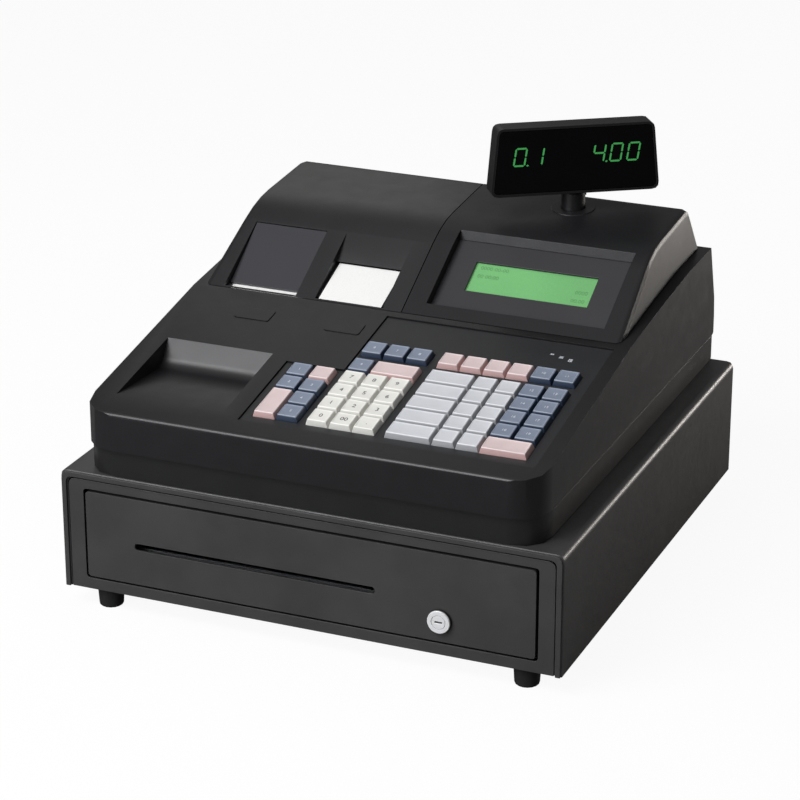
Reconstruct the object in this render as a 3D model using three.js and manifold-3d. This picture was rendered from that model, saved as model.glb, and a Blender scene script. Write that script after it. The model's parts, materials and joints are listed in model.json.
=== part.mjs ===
// Electronic cash register with two printers, on a steel cash drawer.
// Millimetres. X runs to the right, Y to the back and Z up.
import * as THREE from "three";
import { mergeVertices } from "three/addons/utils/BufferGeometryUtils.js";
import Module from "manifold-3d";

const wasm = await Module();
wasm.setup();

// Clearances that every piece shares.
const seat = 0.3; // between pieces that rest on each other
const running = 0.6; // beside a piece that slides or turns
const over = 3; // how far a cut runs past the face that it opens
const grid = 2 ** -10; // level pieces have their corners on this grid, so that joined faces are flush
const bendSteps = 3; // flats in a small bend
const rodSides = 16; // flats round a rod
const wheelSides = 32; // flats round a roll or the display pole

// Cash drawer cabinet: height 0 is the lower edge of its cover.
const cabinet = {
  width: 410,
  depth: 418,
  height: 98,
  sheet: 1.2,
  bend: 6,
  rimThickness: 6,
  rimDepth: 10,
  rimRounding: 2,
  wallHeight: 62,
};
const frame = {
  setback: 1.6,
  thickness: 1.8,
  sideBar: 12.7,
  topBar: 7.5,
  openingLow: 9.4,
  openingBend: 3,
};
const foot = { radius: 10.5, lowerRadius: 9.5, height: 17, fromSide: 32, fromFront: 16 };
const front = {
  gap: 1.8,
  setback: 1,
  plate: 2,
  foldDepth: 11,
  bend: 3,
  slotFromLeft: 41.2,
  slotFromRight: 127.2,
  slotHeight: 5.6,
  slotLevel: 43,
};
const rail = { thickness: 1.2, height: 14, level: 40, reach: 13, fromRear: 12 };
const box = { sheet: 1.2, high: 76, rearGap: 42, runnerLength: 62 };
const lock = {
  fromRight: 74.9,
  level: 28.5,
  radius: 9.7,
  proud: 3.4,
  bodyRadius: 8,
  bodyBack: 2.2,
  plugRadius: 5.4,
  keyWidth: 6,
  keyHeight: 1.6,
  keyDepth: 2,
  camLength: 22,
  camWidth: 5,
  camThickness: 1.6,
  camSlotGap: 1.2,
};
const till = {
  frontGap: 30,
  rearGap: 3,
  ledge: 15,
  height: 48,
  wall: 2.4,
  floor: 2.4,
  coinDepth: 96,
  coinBend: 26,
  notePockets: 4,
  coinPockets: 5,
  bend: 4,
};
const clip = {
  width: 20,
  thickness: 1.6,
  pinRadius: 2.6,
  length: 118,
  fromRear: 9,
  drop: 28,
  fromTop: 9,
  tipBend: 7,
  lugThickness: 3,
  lugHeight: 13,
};
const latch = {
  across: 30,
  width: 8,
  level: 38,
  pivotGap: 13,
  pivotRadius: 2.5,
  reach: 18,
  armHeight: 5,
  toothHeight: 5,
  toothDepth: 3,
  tailLength: 6,
  strikeWidth: 16,
  strikeLip: 20,
  lipClearance: 1,
  hookClearance: 3.5,
  solenoidLength: 34,
  solenoidHeight: 24,
  solenoidWidth: 22,
  plungerRadius: 3,
  plungerLength: 8,
};

// Turns polygon corners, each [u, v] or [u, v, radius], into points with the radii as short flats.
function outline(corners) {
  const points = [];
  corners.forEach(([u, v, radius = 0], i) => {
    const corner = new THREE.Vector2(u, v);
    const before = corners[(i + corners.length - 1) % corners.length];
    const after = corners[(i + 1) % corners.length];
    const a = new THREE.Vector2(before[0], before[1]).sub(corner);
    const b = new THREE.Vector2(after[0], after[1]).sub(corner);
    const half = Math.abs(a.angleTo(b)) / 2;
    const tangent = Math.min(radius / Math.tan(half), 0.48 * a.length(), 0.48 * b.length());
    if (!(tangent > 0)) {
      points.push(corner);
      return;
    }
    const from = corner.clone().addScaledVector(a.normalize(), tangent);
    const to = corner.clone().addScaledVector(b.normalize(), tangent);
    const curve = new THREE.QuadraticBezierCurve(from, corner, to);
    points.push(...curve.getPoints(bendSteps));
  });
  return points;
}

// Moves every edge of a polygon inwards by a distance, and takes the distance off each radius.
function inset(corners, distance) {
  const area = THREE.ShapeUtils.area(corners.map(([u, v]) => new THREE.Vector2(u, v)));
  const side = Math.sign(area);
  const edges = corners.map(([u, v], i) => {
    const next = corners[(i + 1) % corners.length];
    const along = new THREE.Vector2(next[0] - u, next[1] - v).normalize();
    const inwards = new THREE.Vector2(-along.y, along.x).multiplyScalar(side * distance);
    return { start: new THREE.Vector2(u, v).add(inwards), along };
  });
  return corners.map(([, , radius = 0], i) => {
    const one = edges[(i + corners.length - 1) % corners.length];
    const two = edges[i];
    const cross = one.along.cross(two.along);
    const gap = two.start.clone().sub(one.start);
    const meet = one.start.clone().addScaledVector(one.along, gap.cross(two.along) / cross);
    return [meet.x, meet.y, Math.max(radius - distance, 0)];
  });
}

// Makes a closed geometry, placed in a frame, into a solid that can be joined and cut.
function solid(geometry, place) {
  const bare = geometry.index ? geometry.toNonIndexed() : geometry.clone();
  bare.deleteAttribute("normal");
  bare.deleteAttribute("uv");
  if (place) bare.applyMatrix4(place);
  const position = bare.attributes.position;
  if (!place) position.array.forEach((value, i, all) => (all[i] = Math.round(value / grid) * grid));
  const merged = mergeVertices(bare);
  const shape = new wasm.Mesh({
    numProp: 3,
    vertProperties: merged.attributes.position.array,
    triVerts: new Uint32Array(merged.index.array),
  });
  return new wasm.Manifold(shape);
}

function block([x0, x1], [y0, y1], [z0, z1], place) {
  const geometry = new THREE.BoxGeometry(x1 - x0, y1 - y0, z1 - z0);
  geometry.translate((x0 + x1) / 2, (y0 + y1) / 2, (z0 + z1) / 2);
  return solid(geometry, place);
}

// Extrudes an outline along X, Y or Z: the outline is drawn in (y, z), (x, z) or (x, y).
function prism(axis, corners, [low, high], place) {
  const shape = new THREE.Shape(outline(corners));
  const geometry = new THREE.ExtrudeGeometry(shape, { depth: high - low, bevelEnabled: false });
  const turn = new THREE.Matrix4();
  if (axis === "x") turn.set(0, 0, 1, low, 1, 0, 0, 0, 0, 1, 0, 0, 0, 0, 0, 1);
  if (axis === "y") turn.set(1, 0, 0, 0, 0, 0, -1, high, 0, 1, 0, 0, 0, 0, 0, 1);
  if (axis === "z") turn.makeTranslation(0, 0, low);
  geometry.applyMatrix4(turn);
  return solid(geometry, place);
}

// A round bar along X, Y or Z through a point, from one coordinate on that axis to another.
function rod(axis, [x, y, z], radius, [low, high], sides = rodSides, place, endRadius = radius) {
  const geometry = new THREE.CylinderGeometry(endRadius, radius, high - low, sides);
  const middle = (low + high) / 2;
  if (axis === "x") geometry.rotateZ(-Math.PI / 2).translate(middle, y, z);
  if (axis === "y") geometry.translate(x, middle, z);
  if (axis === "z") geometry.rotateX(Math.PI / 2).translate(x, y, middle);
  return solid(geometry, place);
}

const join = (...solids) => solids.reduce((whole, one) => whole.add(one));
const cut = (whole, ...tools) => tools.reduce((rest, one) => rest.subtract(one), whole);
const around = (middle, width) => [middle - width / 2, middle + width / 2];
const rectangle = ([u0, u1], [v0, v1], radius = 0) => [
  [u0, v0, radius],
  [u1, v0, radius],
  [u1, v1, radius],
  [u0, v1, radius],
];

function finish(color, roughness, metalness = 0) {
  return new THREE.MeshStandardMaterial({ color, roughness, metalness, flatShading: true });
}

function piece(name, shape, material) {
  const { vertProperties, triVerts } = shape.getMesh();
  const geometry = new THREE.BufferGeometry();
  geometry.setAttribute("position", new THREE.BufferAttribute(vertProperties, 3));
  geometry.setIndex(new THREE.BufferAttribute(triVerts, 1));
  const mesh = new THREE.Mesh(geometry.toNonIndexed(), material);
  mesh.geometry.computeVertexNormals();
  mesh.name = name;
  return mesh;
}

const paintedSteel = () => finish(0x1d1d1f, 0.42, 0.1);
const zincSteel = () => finish(0xb4b6b8, 0.38, 0.9);
const chrome = () => finish(0xdfe2e6, 0.12, 1);
const darkPlastic = () => finish(0x35353a, 0.5);
const blackPlastic = () => finish(0x17171a, 0.45);
const rubber = () => finish(0x101011, 0.85);

// Places in the cabinet that several pieces share.
const halfWidth = cabinet.width / 2;
const frameBack = frame.setback + frame.thickness;
const frameHalf = halfWidth - cabinet.rimThickness - seat;
const frameHigh = cabinet.height - cabinet.rimThickness - seat;
const openingHalf = frameHalf - frame.sideBar;
const openingHigh = frameHigh - frame.topBar;
const floorTop = cabinet.sheet;
const drawerHalf = openingHalf - front.gap;
const frontLow = frame.openingLow + front.gap;
const frontHigh = openingHigh - front.gap;
const slotAcross = [-drawerHalf + front.slotFromLeft, drawerHalf - front.slotFromRight];
const lockAcross = drawerHalf - lock.fromRight;
const boxFront = front.setback + front.foldDepth + seat;
const boxBack = cabinet.depth - box.rearGap - cabinet.sheet;
const boxLow = frame.openingLow + running;
const boxHalf = drawerHalf - running;
const wallInner = halfWidth - 2 * cabinet.sheet - seat;
const baseBack = cabinet.depth - cabinet.sheet;
const latchPivot = baseBack - cabinet.sheet - latch.pivotGap;

function cabinetCover() {
  const legs = (thickness) => {
    const outer = [
      [-halfWidth, 0],
      [-halfWidth, cabinet.height, cabinet.bend],
      [halfWidth, cabinet.height, cabinet.bend],
      [halfWidth, 0],
    ];
    const inner = [
      [halfWidth - thickness, 0],
      [halfWidth - thickness, cabinet.height - thickness, cabinet.bend - cabinet.sheet],
      [thickness - halfWidth, cabinet.height - thickness, cabinet.bend - cabinet.sheet],
      [thickness - halfWidth, 0],
    ];
    return [...outer, ...inner];
  };
  const shell = prism("y", legs(cabinet.sheet), [cabinet.rimRounding, cabinet.depth]);
  const rim = prism("y", legs(cabinet.rimThickness), [cabinet.rimRounding, cabinet.rimDepth]);
  const face = legs(cabinet.rimThickness - cabinet.rimRounding).map(([x, z, radius]) => [
    x - Math.sign(x) * cabinet.rimRounding / 2,
    z > 0 ? z - cabinet.rimRounding / 2 : z,
    radius,
  ]);
  return join(shell, rim, prism("y", face, [0, cabinet.rimRounding]));
}

function cabinetBase() {
  const outer = halfWidth - cabinet.sheet - seat;
  const back = [baseBack - cabinet.sheet, baseBack];
  const start = frameBack + seat;
  const behindRim = cabinet.rimDepth + seat;
  const tongue = halfWidth - cabinet.rimThickness - seat;
  const floor = join(
    block([-outer, outer], [behindRim, baseBack], [0, floorTop]),
    block([-tongue, tongue], [start, behindRim + over], [0, floorTop]),
  );
  const top = cabinet.height - cabinet.sheet - seat;
  const rear = block([-outer, outer], back, [0, top]);
  const sides = [-outer, outer - cabinet.sheet].map((x) =>
    block([x, x + cabinet.sheet], [start + cabinet.rimDepth, baseBack], [0, cabinet.wallHeight]),
  );
  const shell = join(floor, rear, ...sides);
  const corners = [-1, 1].map((side) =>
    block(
      side < 0 ? [-halfWidth, -halfWidth + cabinet.bend] : [halfWidth - cabinet.bend, halfWidth],
      [back[0] - over, baseBack + over],
      [cabinet.height - cabinet.bend, cabinet.height],
    ),
  );
  return cut(shell, ...corners);
}

function frontFrame() {
  const edge = [
    [-frameHalf, 0],
    [frameHalf, 0],
    [frameHalf, frameHigh, cabinet.bend],
    [-frameHalf, frameHigh, cabinet.bend],
  ];
  const plate = prism("y", edge, [frame.setback, frameBack]);
  const openingAcross = [-openingHalf, openingHalf];
  const opening = rectangle(openingAcross, [frame.openingLow, openingHigh], frame.openingBend);
  return cut(plate, prism("y", opening, [-over, frameBack + over]));
}

function roundFoot(x, y) {
  return rod("z", [x, y], foot.lowerRadius, [-foot.height, -seat], rodSides, null, foot.radius);
}

function drawerRail(side) {
  const web = side * (wallInner - seat);
  const inner = web - side * rail.thickness;
  const lip = web - side * rail.reach;
  const low = rail.level;
  const high = rail.level + rail.height;
  const section = [
    [web, low],
    [web, high],
    [lip, high],
    [lip, high - rail.thickness],
    [inner, high - rail.thickness],
    [inner, low + rail.thickness],
    [lip, low + rail.thickness],
    [lip, low],
  ];
  const start = frameBack + cabinet.rimDepth + seat + running;
  return prism("y", section, [start, baseBack - cabinet.sheet - rail.fromRear]);
}

function drawerBox() {
  const across = [-boxHalf, boxHalf];
  const depth = [boxFront, boxBack];
  const shell = block(across, depth, [boxLow, box.high]);
  const hollow = block(
    [-boxHalf + box.sheet, boxHalf - box.sheet],
    [boxFront + box.sheet, boxBack - box.sheet],
    [boxLow + box.sheet, box.high + over],
  );
  const slot = block(
    slotAcross,
    [boxFront - over, boxFront + box.sheet + over],
    around(front.slotLevel, 2 * front.slotHeight),
  );
  const lockHole = rod("y", [lockAcross, 0, lock.level], lock.radius + running, [
    boxFront - over,
    boxFront + box.sheet + over,
  ]);
  const railGap = rail.thickness + running;
  const runnerLevels = [rail.level + railGap, rail.level + rail.height - railGap];
  const runnerEnd = wallInner - seat - railGap;
  const runners = [-1, 1].map((side) =>
    block(
      side < 0 ? [-runnerEnd, -boxHalf + box.sheet] : [boxHalf - box.sheet, runnerEnd],
      [boxBack - box.runnerLength, boxBack],
      runnerLevels,
    ),
  );
  const ledgeTop = boxLow + box.sheet + till.ledge;
  const ledges = [-1, 1].map((side) =>
    block(
      side < 0
        ? [-boxHalf, -boxHalf + box.sheet + till.ledge]
        : [boxHalf - box.sheet - till.ledge, boxHalf],
      [boxFront + till.frontGap + box.sheet, boxBack],
      [ledgeTop - box.sheet, ledgeTop],
    ),
  );
  const toothBack = latchPivot - latch.reach + latch.toothDepth;
  const strikeBack = toothBack + latch.hookClearance + box.sheet;
  const lipLow = latch.level + latch.armHeight / 2 + latch.toothHeight / 2 + latch.lipClearance;
  const strikeAcross = around(latch.across, latch.strikeWidth);
  const strike = join(
    block(strikeAcross, [boxBack - box.sheet, strikeBack], [
      lipLow + latch.strikeLip,
      lipLow + latch.strikeLip + box.sheet,
    ]),
    block(strikeAcross, [strikeBack - box.sheet, strikeBack], [
      lipLow,
      lipLow + latch.strikeLip + box.sheet,
    ]),
  );
  return join(cut(shell, hollow, slot, lockHole), ...runners, ...ledges, strike);
}

function drawerFront() {
  const depth = [front.setback, front.setback + front.foldDepth];
  const edge = rectangle([-drawerHalf, drawerHalf], [frontLow, frontHigh], front.bend);
  const hollow = inset(edge, box.sheet);
  const panel = cut(
    prism("y", edge, depth),
    prism("y", hollow, [front.setback + front.plate, depth[1] + over]),
  );
  const slot = prism(
    "y",
    rectangle(
      slotAcross,
      around(front.slotLevel, front.slotHeight),
      front.slotHeight / 2,
    ),
    [-over, depth[1] + over],
  );
  const lockHole = rod("y", [lockAcross, 0, lock.level], lock.bodyRadius + seat, [
    -over,
    depth[1] + over,
  ]);
  // The cam turns from pointing right to pointing down, through the lower fold.
  const foldDrop = lock.level - frontLow - box.sheet;
  const camSweep = Math.sqrt(lock.camLength ** 2 - foldDrop ** 2);
  const camAcross = [
    lockAcross - lock.camWidth / 2 - lock.camSlotGap,
    lockAcross + camSweep + lock.camSlotGap,
  ];
  const camDepth = lockCamDepth();
  const camSlot = block(
    camAcross,
    [camDepth[0] - lock.camSlotGap, camDepth[1] + lock.camSlotGap],
    [frontLow - over, frontLow + box.sheet + over],
  );
  return cut(panel, slot, lockHole, camSlot);
}

// The lock's body ends behind the front's plate, and its cam turns in the space behind the body.
const lockBodyEnd = front.setback + front.plate + lock.bodyBack;

function lockCamDepth() {
  return [lockBodyEnd + running, lockBodyEnd + running + lock.camThickness];
}

function lockBarrel() {
  const at = [lockAcross, 0, lock.level];
  const collar = rod(
    "y",
    at,
    lock.radius - lock.proud / 4,
    [front.setback - seat - lock.proud, front.setback - seat],
    wheelSides,
    null,
    lock.radius,
  );
  const body = rod("y", at, lock.bodyRadius, [front.setback - seat - lock.proud / 2, lockBodyEnd]);
  const bore = rod("y", at, lock.plugRadius + seat, [-lock.proud - over, lockBodyEnd + over]);
  return cut(join(collar, body), bore);
}

function lockPlug() {
  const at = [lockAcross, 0, lock.level];
  const face = front.setback - seat - lock.proud;
  const camDepth = lockCamDepth();
  const plug = rod("y", at, lock.plugRadius, [face, camDepth[1]]);
  const keyhole = block(
    around(lockAcross, lock.keyWidth),
    [face - over, face + lock.keyDepth],
    around(lock.level, lock.keyHeight),
  );
  const cam = prism(
    "y",
    rectangle(
      [lockAcross, lockAcross + lock.camLength],
      around(lock.level, lock.camWidth),
      lock.camWidth / 2,
    ),
    camDepth,
  );
  return join(cut(plug, keyhole), cam);
}

// Places in the till that its pockets and clips share.
const tillLow = boxLow + box.sheet + till.ledge + seat;
const tillHigh = tillLow + till.height;
const tillHalf = boxHalf - box.sheet - running;
const tillFront = boxFront + box.sheet + till.frontGap;
const tillBack = boxBack - box.sheet - till.rearGap;
const coinBack = tillFront + till.wall + till.coinDepth;
const notePitch = (2 * tillHalf - till.wall) / till.notePockets;
const coinPitch = (2 * tillHalf - till.wall) / till.coinPockets;
const clipPin = [tillBack - till.wall - clip.fromRear, tillHigh - clip.fromTop];

function noteMiddle(index) {
  return -tillHalf + till.wall / 2 + notePitch * (index + 0.5);
}

function tillTray() {
  const body = block([-tillHalf, tillHalf], [tillFront, tillBack], [tillLow, tillHigh]);
  const floor = tillLow + till.floor;
  const coins = Array.from({ length: till.coinPockets }, (_, i) => {
    const middle = -tillHalf + till.wall / 2 + coinPitch * (i + 0.5);
    const scoop = [
      [tillFront + till.wall, tillHigh + over],
      [tillFront + till.wall, floor, till.coinBend],
      [coinBack, floor, till.coinBend],
      [coinBack, tillHigh + over],
    ];
    return prism("x", scoop, around(middle, coinPitch - till.wall));
  });
  const notes = Array.from({ length: till.notePockets }, (_, i) => {
    const across = around(noteMiddle(i), notePitch - till.wall);
    const pocket = rectangle(across, [coinBack + till.wall, tillBack - till.wall], till.bend);
    return prism("z", pocket, [floor, tillHigh + over]);
  });
  const pinGap = clip.pinRadius + seat;
  const lugs = Array.from({ length: till.notePockets }, (_, i) =>
    [-1, 1].map((side) => {
      const inner = noteMiddle(i) + side * (clip.width / 2 + seat);
      const outer = inner + side * clip.lugThickness;
      const lug = block(
        [Math.min(inner, outer), Math.max(inner, outer)],
        [clipPin[0] - 2 * clip.pinRadius, tillBack - till.wall / 2],
        [clipPin[1] - clip.lugHeight / 2, clipPin[1] + clip.lugHeight / 2],
      );
      return cut(lug, rod("x", [0, ...clipPin], pinGap, [inner - clip.width, inner + clip.width]));
    }),
  );
  return join(cut(body, ...coins, ...notes), ...lugs.flat());
}

// A note clip: a pin in the two lugs, and a strip that slopes down on to the notes.
function billClip(index) {
  const middle = noteMiddle(index);
  const [y, z] = clipPin;
  const reachLugs = clip.width + 2 * (clip.lugThickness + seat) - 2 * seat;
  const pin = rod("x", [0, y, z], clip.pinRadius, around(middle, reachLugs));
  const half = clip.thickness / 2;
  const strip = [
    [y, z + half],
    [y - clip.length, z - clip.drop + half, clip.tipBend],
    [y - clip.length - clip.tipBend, z - clip.drop + clip.tipBend + half],
    [y - clip.length - clip.tipBend, z - clip.drop + clip.tipBend - half],
    [y - clip.length, z - clip.drop - half, clip.tipBend],
    [y, z - half],
  ];
  return join(pin, prism("x", strip, around(middle, clip.width)));
}

function latchLever() {
  const tip = latchPivot - latch.reach;
  const low = latch.level - latch.armHeight / 2;
  const high = latch.level + latch.armHeight / 2;
  const tooth = high + latch.toothHeight / 2;
  const arm = [
    [tip, low],
    [latchPivot + latch.tailLength, low],
    [latchPivot + latch.tailLength, high],
    [tip + latch.toothDepth, high],
    [tip + latch.toothDepth, tooth],
    [tip, tooth],
  ];
  const across = around(latch.across, latch.width);
  const pinEnds = around(latch.across, latch.solenoidWidth + 2 * cabinet.sheet);
  return join(
    prism("x", arm, across),
    rod("x", [0, latchPivot, latch.level], latch.pivotRadius, pinEnds),
  );
}

function latchSolenoid() {
  const rear = baseBack - cabinet.sheet - seat;
  const high = latch.level - latch.armHeight / 2 - latch.plungerLength;
  const low = high - latch.solenoidHeight;
  const coilFront = rear - latch.solenoidLength;
  const across = around(latch.across, latch.solenoidWidth);
  const coil = block(across, [coilFront, rear], [Math.max(low, floorTop + seat), high]);
  const plunger = rod(
    "z",
    [latch.across, (latchPivot - latch.reach + latchPivot) / 2],
    latch.plungerRadius,
    [high - over, high + latch.plungerLength - running],
  );
  const gap = latch.pivotRadius + seat;
  const cheeks = [-1, 1].map((side) => {
    const inner = latch.across + (side * (latch.solenoidWidth - 2 * cabinet.sheet)) / 2;
    const outer = inner + side * cabinet.sheet;
    const cheek = block(
      [Math.min(inner, outer), Math.max(inner, outer)],
      [latchPivot - 2 * gap, rear],
      [high - over, latch.level + 2 * gap],
    );
    const pinLine = [latch.across - latch.solenoidWidth, latch.across + latch.solenoidWidth];
    return cut(cheek, rod("x", [0, latchPivot, latch.level], gap, pinLine));
  });
  return join(coil, plunger, ...cheeks);
}

function cabinetGroup() {
  const group = new THREE.Group();
  group.add(piece("cabinet_cover", cabinetCover(), paintedSteel()));
  group.add(piece("cabinet_base", cabinetBase(), zincSteel()));
  group.add(piece("front_frame", frontFrame(), paintedSteel()));
  const footX = halfWidth - foot.fromSide;
  const places = { front: foot.fromFront, rear: cabinet.depth - foot.fromFront };
  for (const [row, y] of Object.entries(places)) {
    group.add(piece(`foot_${row}_left`, roundFoot(-footX, y), rubber()));
    group.add(piece(`foot_${row}_right`, roundFoot(footX, y), rubber()));
  }
  group.add(piece("drawer_rail_left", drawerRail(-1), zincSteel()));
  group.add(piece("drawer_rail_right", drawerRail(1), zincSteel()));
  group.add(piece("drawer_box", drawerBox(), zincSteel()));
  group.add(piece("drawer_front", drawerFront(), paintedSteel()));
  group.add(piece("lock_barrel", lockBarrel(), chrome()));
  group.add(piece("lock_plug", lockPlug(), chrome()));
  group.add(piece("till_tray", tillTray(), blackPlastic()));
  for (let i = 0; i < till.notePockets; i += 1) {
    group.add(piece(`bill_clip_${i + 1}`, billClip(i), darkPlastic()));
  }
  group.add(piece("latch_lever", latchLever(), zincSteel()));
  group.add(piece("latch_solenoid", latchSolenoid(), zincSteel()));
  return group;
}

// Register case. Levels are measured up from the cabinet's top, depths back from its nose.
const shell = {
  width: 372,
  wall: 2.5,
  skirtInset: 3.5,
  skirtHeight: 22,
  noseRise: 30.8,
  noseRounding: 4,
  frontCorner: 27,
  rearCorner: 10,
  deckDepth: 196.5,
  deckAngle: 10.04,
  topDepth: 403,
  topRise: 81,
  lean: 0.301,
  postRadius: 4,
  backInset: 4,
};
const ledgeShares = [
  [0.346, 0.494],
  [0.719, 0.903],
];
const dish = { fromLeft: 18, fromPanel: 15, front: 27, back: 102, fall: 4.4, bend: 14, slope: 12.5 };
const panel = {
  fromRight: 12,
  width: 236,
  upperWidth: 187.6,
  front: 20.3,
  middle: 109.2,
  back: 195,
  recess: 1.2,
  thickness: 3,
};
const keys = {
  rows: 6,
  rightColumns: 6,
  pitch: 18.8,
  rowPitch: 19.3,
  topWidth: 15.2,
  topDepth: 15.6,
  width: 17.8,
  depth: 17.9,
  height: 4.4,
  skirt: 4,
  travel: 3,
  front: 29.3,
  rowGap: 7.1,
  leftBlock: 7.2,
  middleBlock: 50.5,
  rightBlock: 113.9,
  stem: 5,
  stemLength: 6.6,
};
const switches = { thickness: 4, margin: 6 };
const button = {
  width: 29.5,
  depth: 16,
  back: 176.6,
  height: 7,
  proud: 0.6,
  lip: 1.5,
  lipHeight: 1.8,
  rounding: 2,
  lipDrop: 3.4,
};
const buttonFromPanel = 25.4;
const journalButtonShare = 0.4714; // of the way from the case's left to the other button

// Raised part of the register, with the display on its right and the printer cover on its left.
const hump = {
  ledge: 8,
  coverWidth: 172.5,
  wall: 2.2,
  front: 197,
  rise: 86.6,
  angle: 28.94,
  slopeLength: 102.4,
  topLength: 94.3,
  topAngle: 4.1,
  backAngle: 62.7,
  ridgeBend: 105,
  rearBend: 12,
  sideRounding: 5,
  taper: 0.028,
  depthBelow: 60,
  cornerSteps: 2,
};
const opening = { margin: 6, front: 200.4, rearGap: 7 };
const recess = {
  fromSplit: 17,
  fromRight: 18.5,
  front: 16.6,
  back: 101,
  depth: 7.5,
  lean: 7.8,
  wall: 2.4,
};
const screen = {
  fromLeft: 21.8,
  fromRight: 23.5,
  front: 41.6,
  back: 73,
  bezel: 1.8,
  thickness: 3,
  margin: 2.4,
};
const well = {
  fromLeft: 97.5,
  width: 59,
  front: 5.2,
  back: 77.9,
  lip: 1.7,
  mouth: 51,
  mouthLow: 8,
  mouthHigh: 5.6,
  block: 12,
  wall: 1.2,
  sideWall: 2,
  throatRun: 9,
  throatHeight: 4.5,
};
const windowWell = {
  fromLeft: 17,
  width: 63.5,
  back: 76.8,
  depth: 7.5,
  plateTop: 0.6,
  plateLow: 6,
  plateFront: 14,
  plate: 1.5,
};
const paper = { width: 54, journalWidth: 59, thickness: 0.4, journalFront: 6.5, journalLength: 36 };

// Two-station printer under the cover.
const printer = {
  plate: 1.6,
  fromLeft: 10,
  journalPitch: 79,
  receiptPitch: 75,
  front: 212,
  back: 385,
  ridge: 262,
  ridgeLength: 38,
  rearRise: 88,
  slopeRun: 18,
  table: 1.2,
  tableGap: 8.6,
  tableFront: 5.5,
  tableBack: 58,
};
const platen = { depth: 252, rise: 86, radius: 8.5, spindle: 3 };
const roll = { depth: 345, rise: 74, radius: 28, width: 57.5, spindle: 3.5 };
const spool = { depth: 228, rise: 60, radius: 12, core: 6, width: 64, flange: 1.6, spindle: 3 };

// Customer display on its pole.
const display = {
  fromRight: 94.5,
  depth: 350,
  yaw: 33.6,
  tilt: -2,
  hingeRise: 172,
  offset: -1.7,
  lowerWidth: 140,
  upperWidth: 129.5,
  height: 56.6,
  belowHinge: 15.2,
  face: 13,
  thickness: 22,
  corner: 6,
  backTaper: 3,
  window: 1.5,
  windowMargin: 2.2,
  windowRecess: 1.8,
  pocketHalf: 11,
  pocketDepth: 6.2,
  pocketRise: 8,
};
const pole = {
  radius: 9.75,
  socketWall: 3,
  socketFloor: 4,
  foot: 106,
  ringRadius: 18,
  ringHeight: 6,
  ringProud: 0.8,
  topGap: 1.7,
  tongueWidth: 20,
  tongueThickness: 6.6,
  pinRadius: 3,
  pinOverlap: 5,
};

const board = {
  fromSplit: 17.5,
  fromRight: 18,
  front: 225,
  back: 330,
  thickness: 1.6,
  posts: 16,
  edge: 8,
};
const mains = {
  fromRight: 20,
  width: 48,
  front: 345,
  depth: 44,
  height: 46,
  coreInset: 9,
  coreHeight: 30,
  inletFromRight: 46,
  inletWidth: 24,
  inletHeight: 13,
  inletLevel: 12,
  inletDepth: 16,
  flange: 2,
  flangeThickness: 1.5,
  socketWall: 2.4,
};

const degree = Math.PI / 180;
const caseLow = cabinet.height + seat;
const splitLevel = cabinet.height + shell.skirtHeight;
const upperLow = splitLevel + seat;
const deckLevel = splitLevel + shell.noseRise;
const deckSlope = Math.tan(shell.deckAngle * degree);
const ledgeFrontLevel = deckLevel + shell.deckDepth * deckSlope;
const topLevel = splitLevel + shell.topRise;
const humpLevel = cabinet.height + hump.rise;
const caseHalf = shell.width / 2;
const humpHalf = caseHalf - hump.ledge;
const humpWidth = 2 * humpHalf;
const split = -humpHalf + hump.coverWidth;

// Places across: the keyboard and the display follow the right side, the printer the left.
const panelRight = caseHalf - panel.fromRight;
const panelLeft = panelRight - panel.width;
const panelUpperLeft = panelRight - panel.upperWidth;
const leftBlock = panelLeft + keys.leftBlock;
const middleBlock = panelLeft + keys.middleBlock;
const rightBlock = panelLeft + keys.rightBlock;
const dishAcross = [-caseHalf + dish.fromLeft, panelLeft - dish.fromPanel];
const receiptButton = panelUpperLeft - buttonFromPanel;
const journalButton = -caseHalf + journalButtonShare * (receiptButton + caseHalf);
const buttonPlaces = { journal: journalButton, receipt: receiptButton };
const recessAcross = [split + recess.fromSplit, humpHalf - recess.fromRight];
const screenAcross = [recessAcross[0] + screen.fromLeft, recessAcross[1] - screen.fromRight];
const wellAcross = [-humpHalf + well.fromLeft, -humpHalf + well.fromLeft + well.width];
const windowAcross = [-humpHalf + windowWell.fromLeft, -humpHalf + windowWell.fromLeft + windowWell.width];
const printerLeft = -humpHalf + printer.fromLeft;
const printerMiddle = printerLeft + printer.journalPitch;
const printerRight = printerMiddle + printer.receiptPitch;
const poleAcross = humpHalf - display.fromRight;
const boardAcross = [split + board.fromSplit, caseHalf - board.fromRight];
const mainsAcross = [caseHalf - mains.fromRight - mains.width, caseHalf - mains.fromRight];
const inletAcross = caseHalf - mains.inletFromRight;

function frameAt([x, y, z], tilt, yaw = 0) {
  const place = new THREE.Matrix4().makeTranslation(x, y, z);
  place.multiply(new THREE.Matrix4().makeRotationZ(yaw * degree));
  return place.multiply(new THREE.Matrix4().makeRotationX(tilt * degree));
}

// Local frames: X across, Y up the slope and Z out of the surface.
const deckFrame = frameAt([0, 0, deckLevel], shell.deckAngle);
const humpFrame = frameAt([0, hump.front, humpLevel], hump.angle);

function backAt(level) {
  return shell.topDepth + shell.lean * (topLevel - level);
}

// The line from the deck's end to the case's top edge that the raised part stands on.
function ledgeLine(lift = 0) {
  const run = shell.topDepth - shell.deckDepth;
  const climb = topLevel - ledgeFrontLevel;
  const middle = ledgeShares.map(([along, up]) => [
    shell.deckDepth + along * run,
    ledgeFrontLevel + up * climb + lift,
  ]);
  return [
    [shell.deckDepth, ledgeFrontLevel + lift],
    ...middle,
    [shell.topDepth, topLevel + lift],
  ];
}

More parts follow.
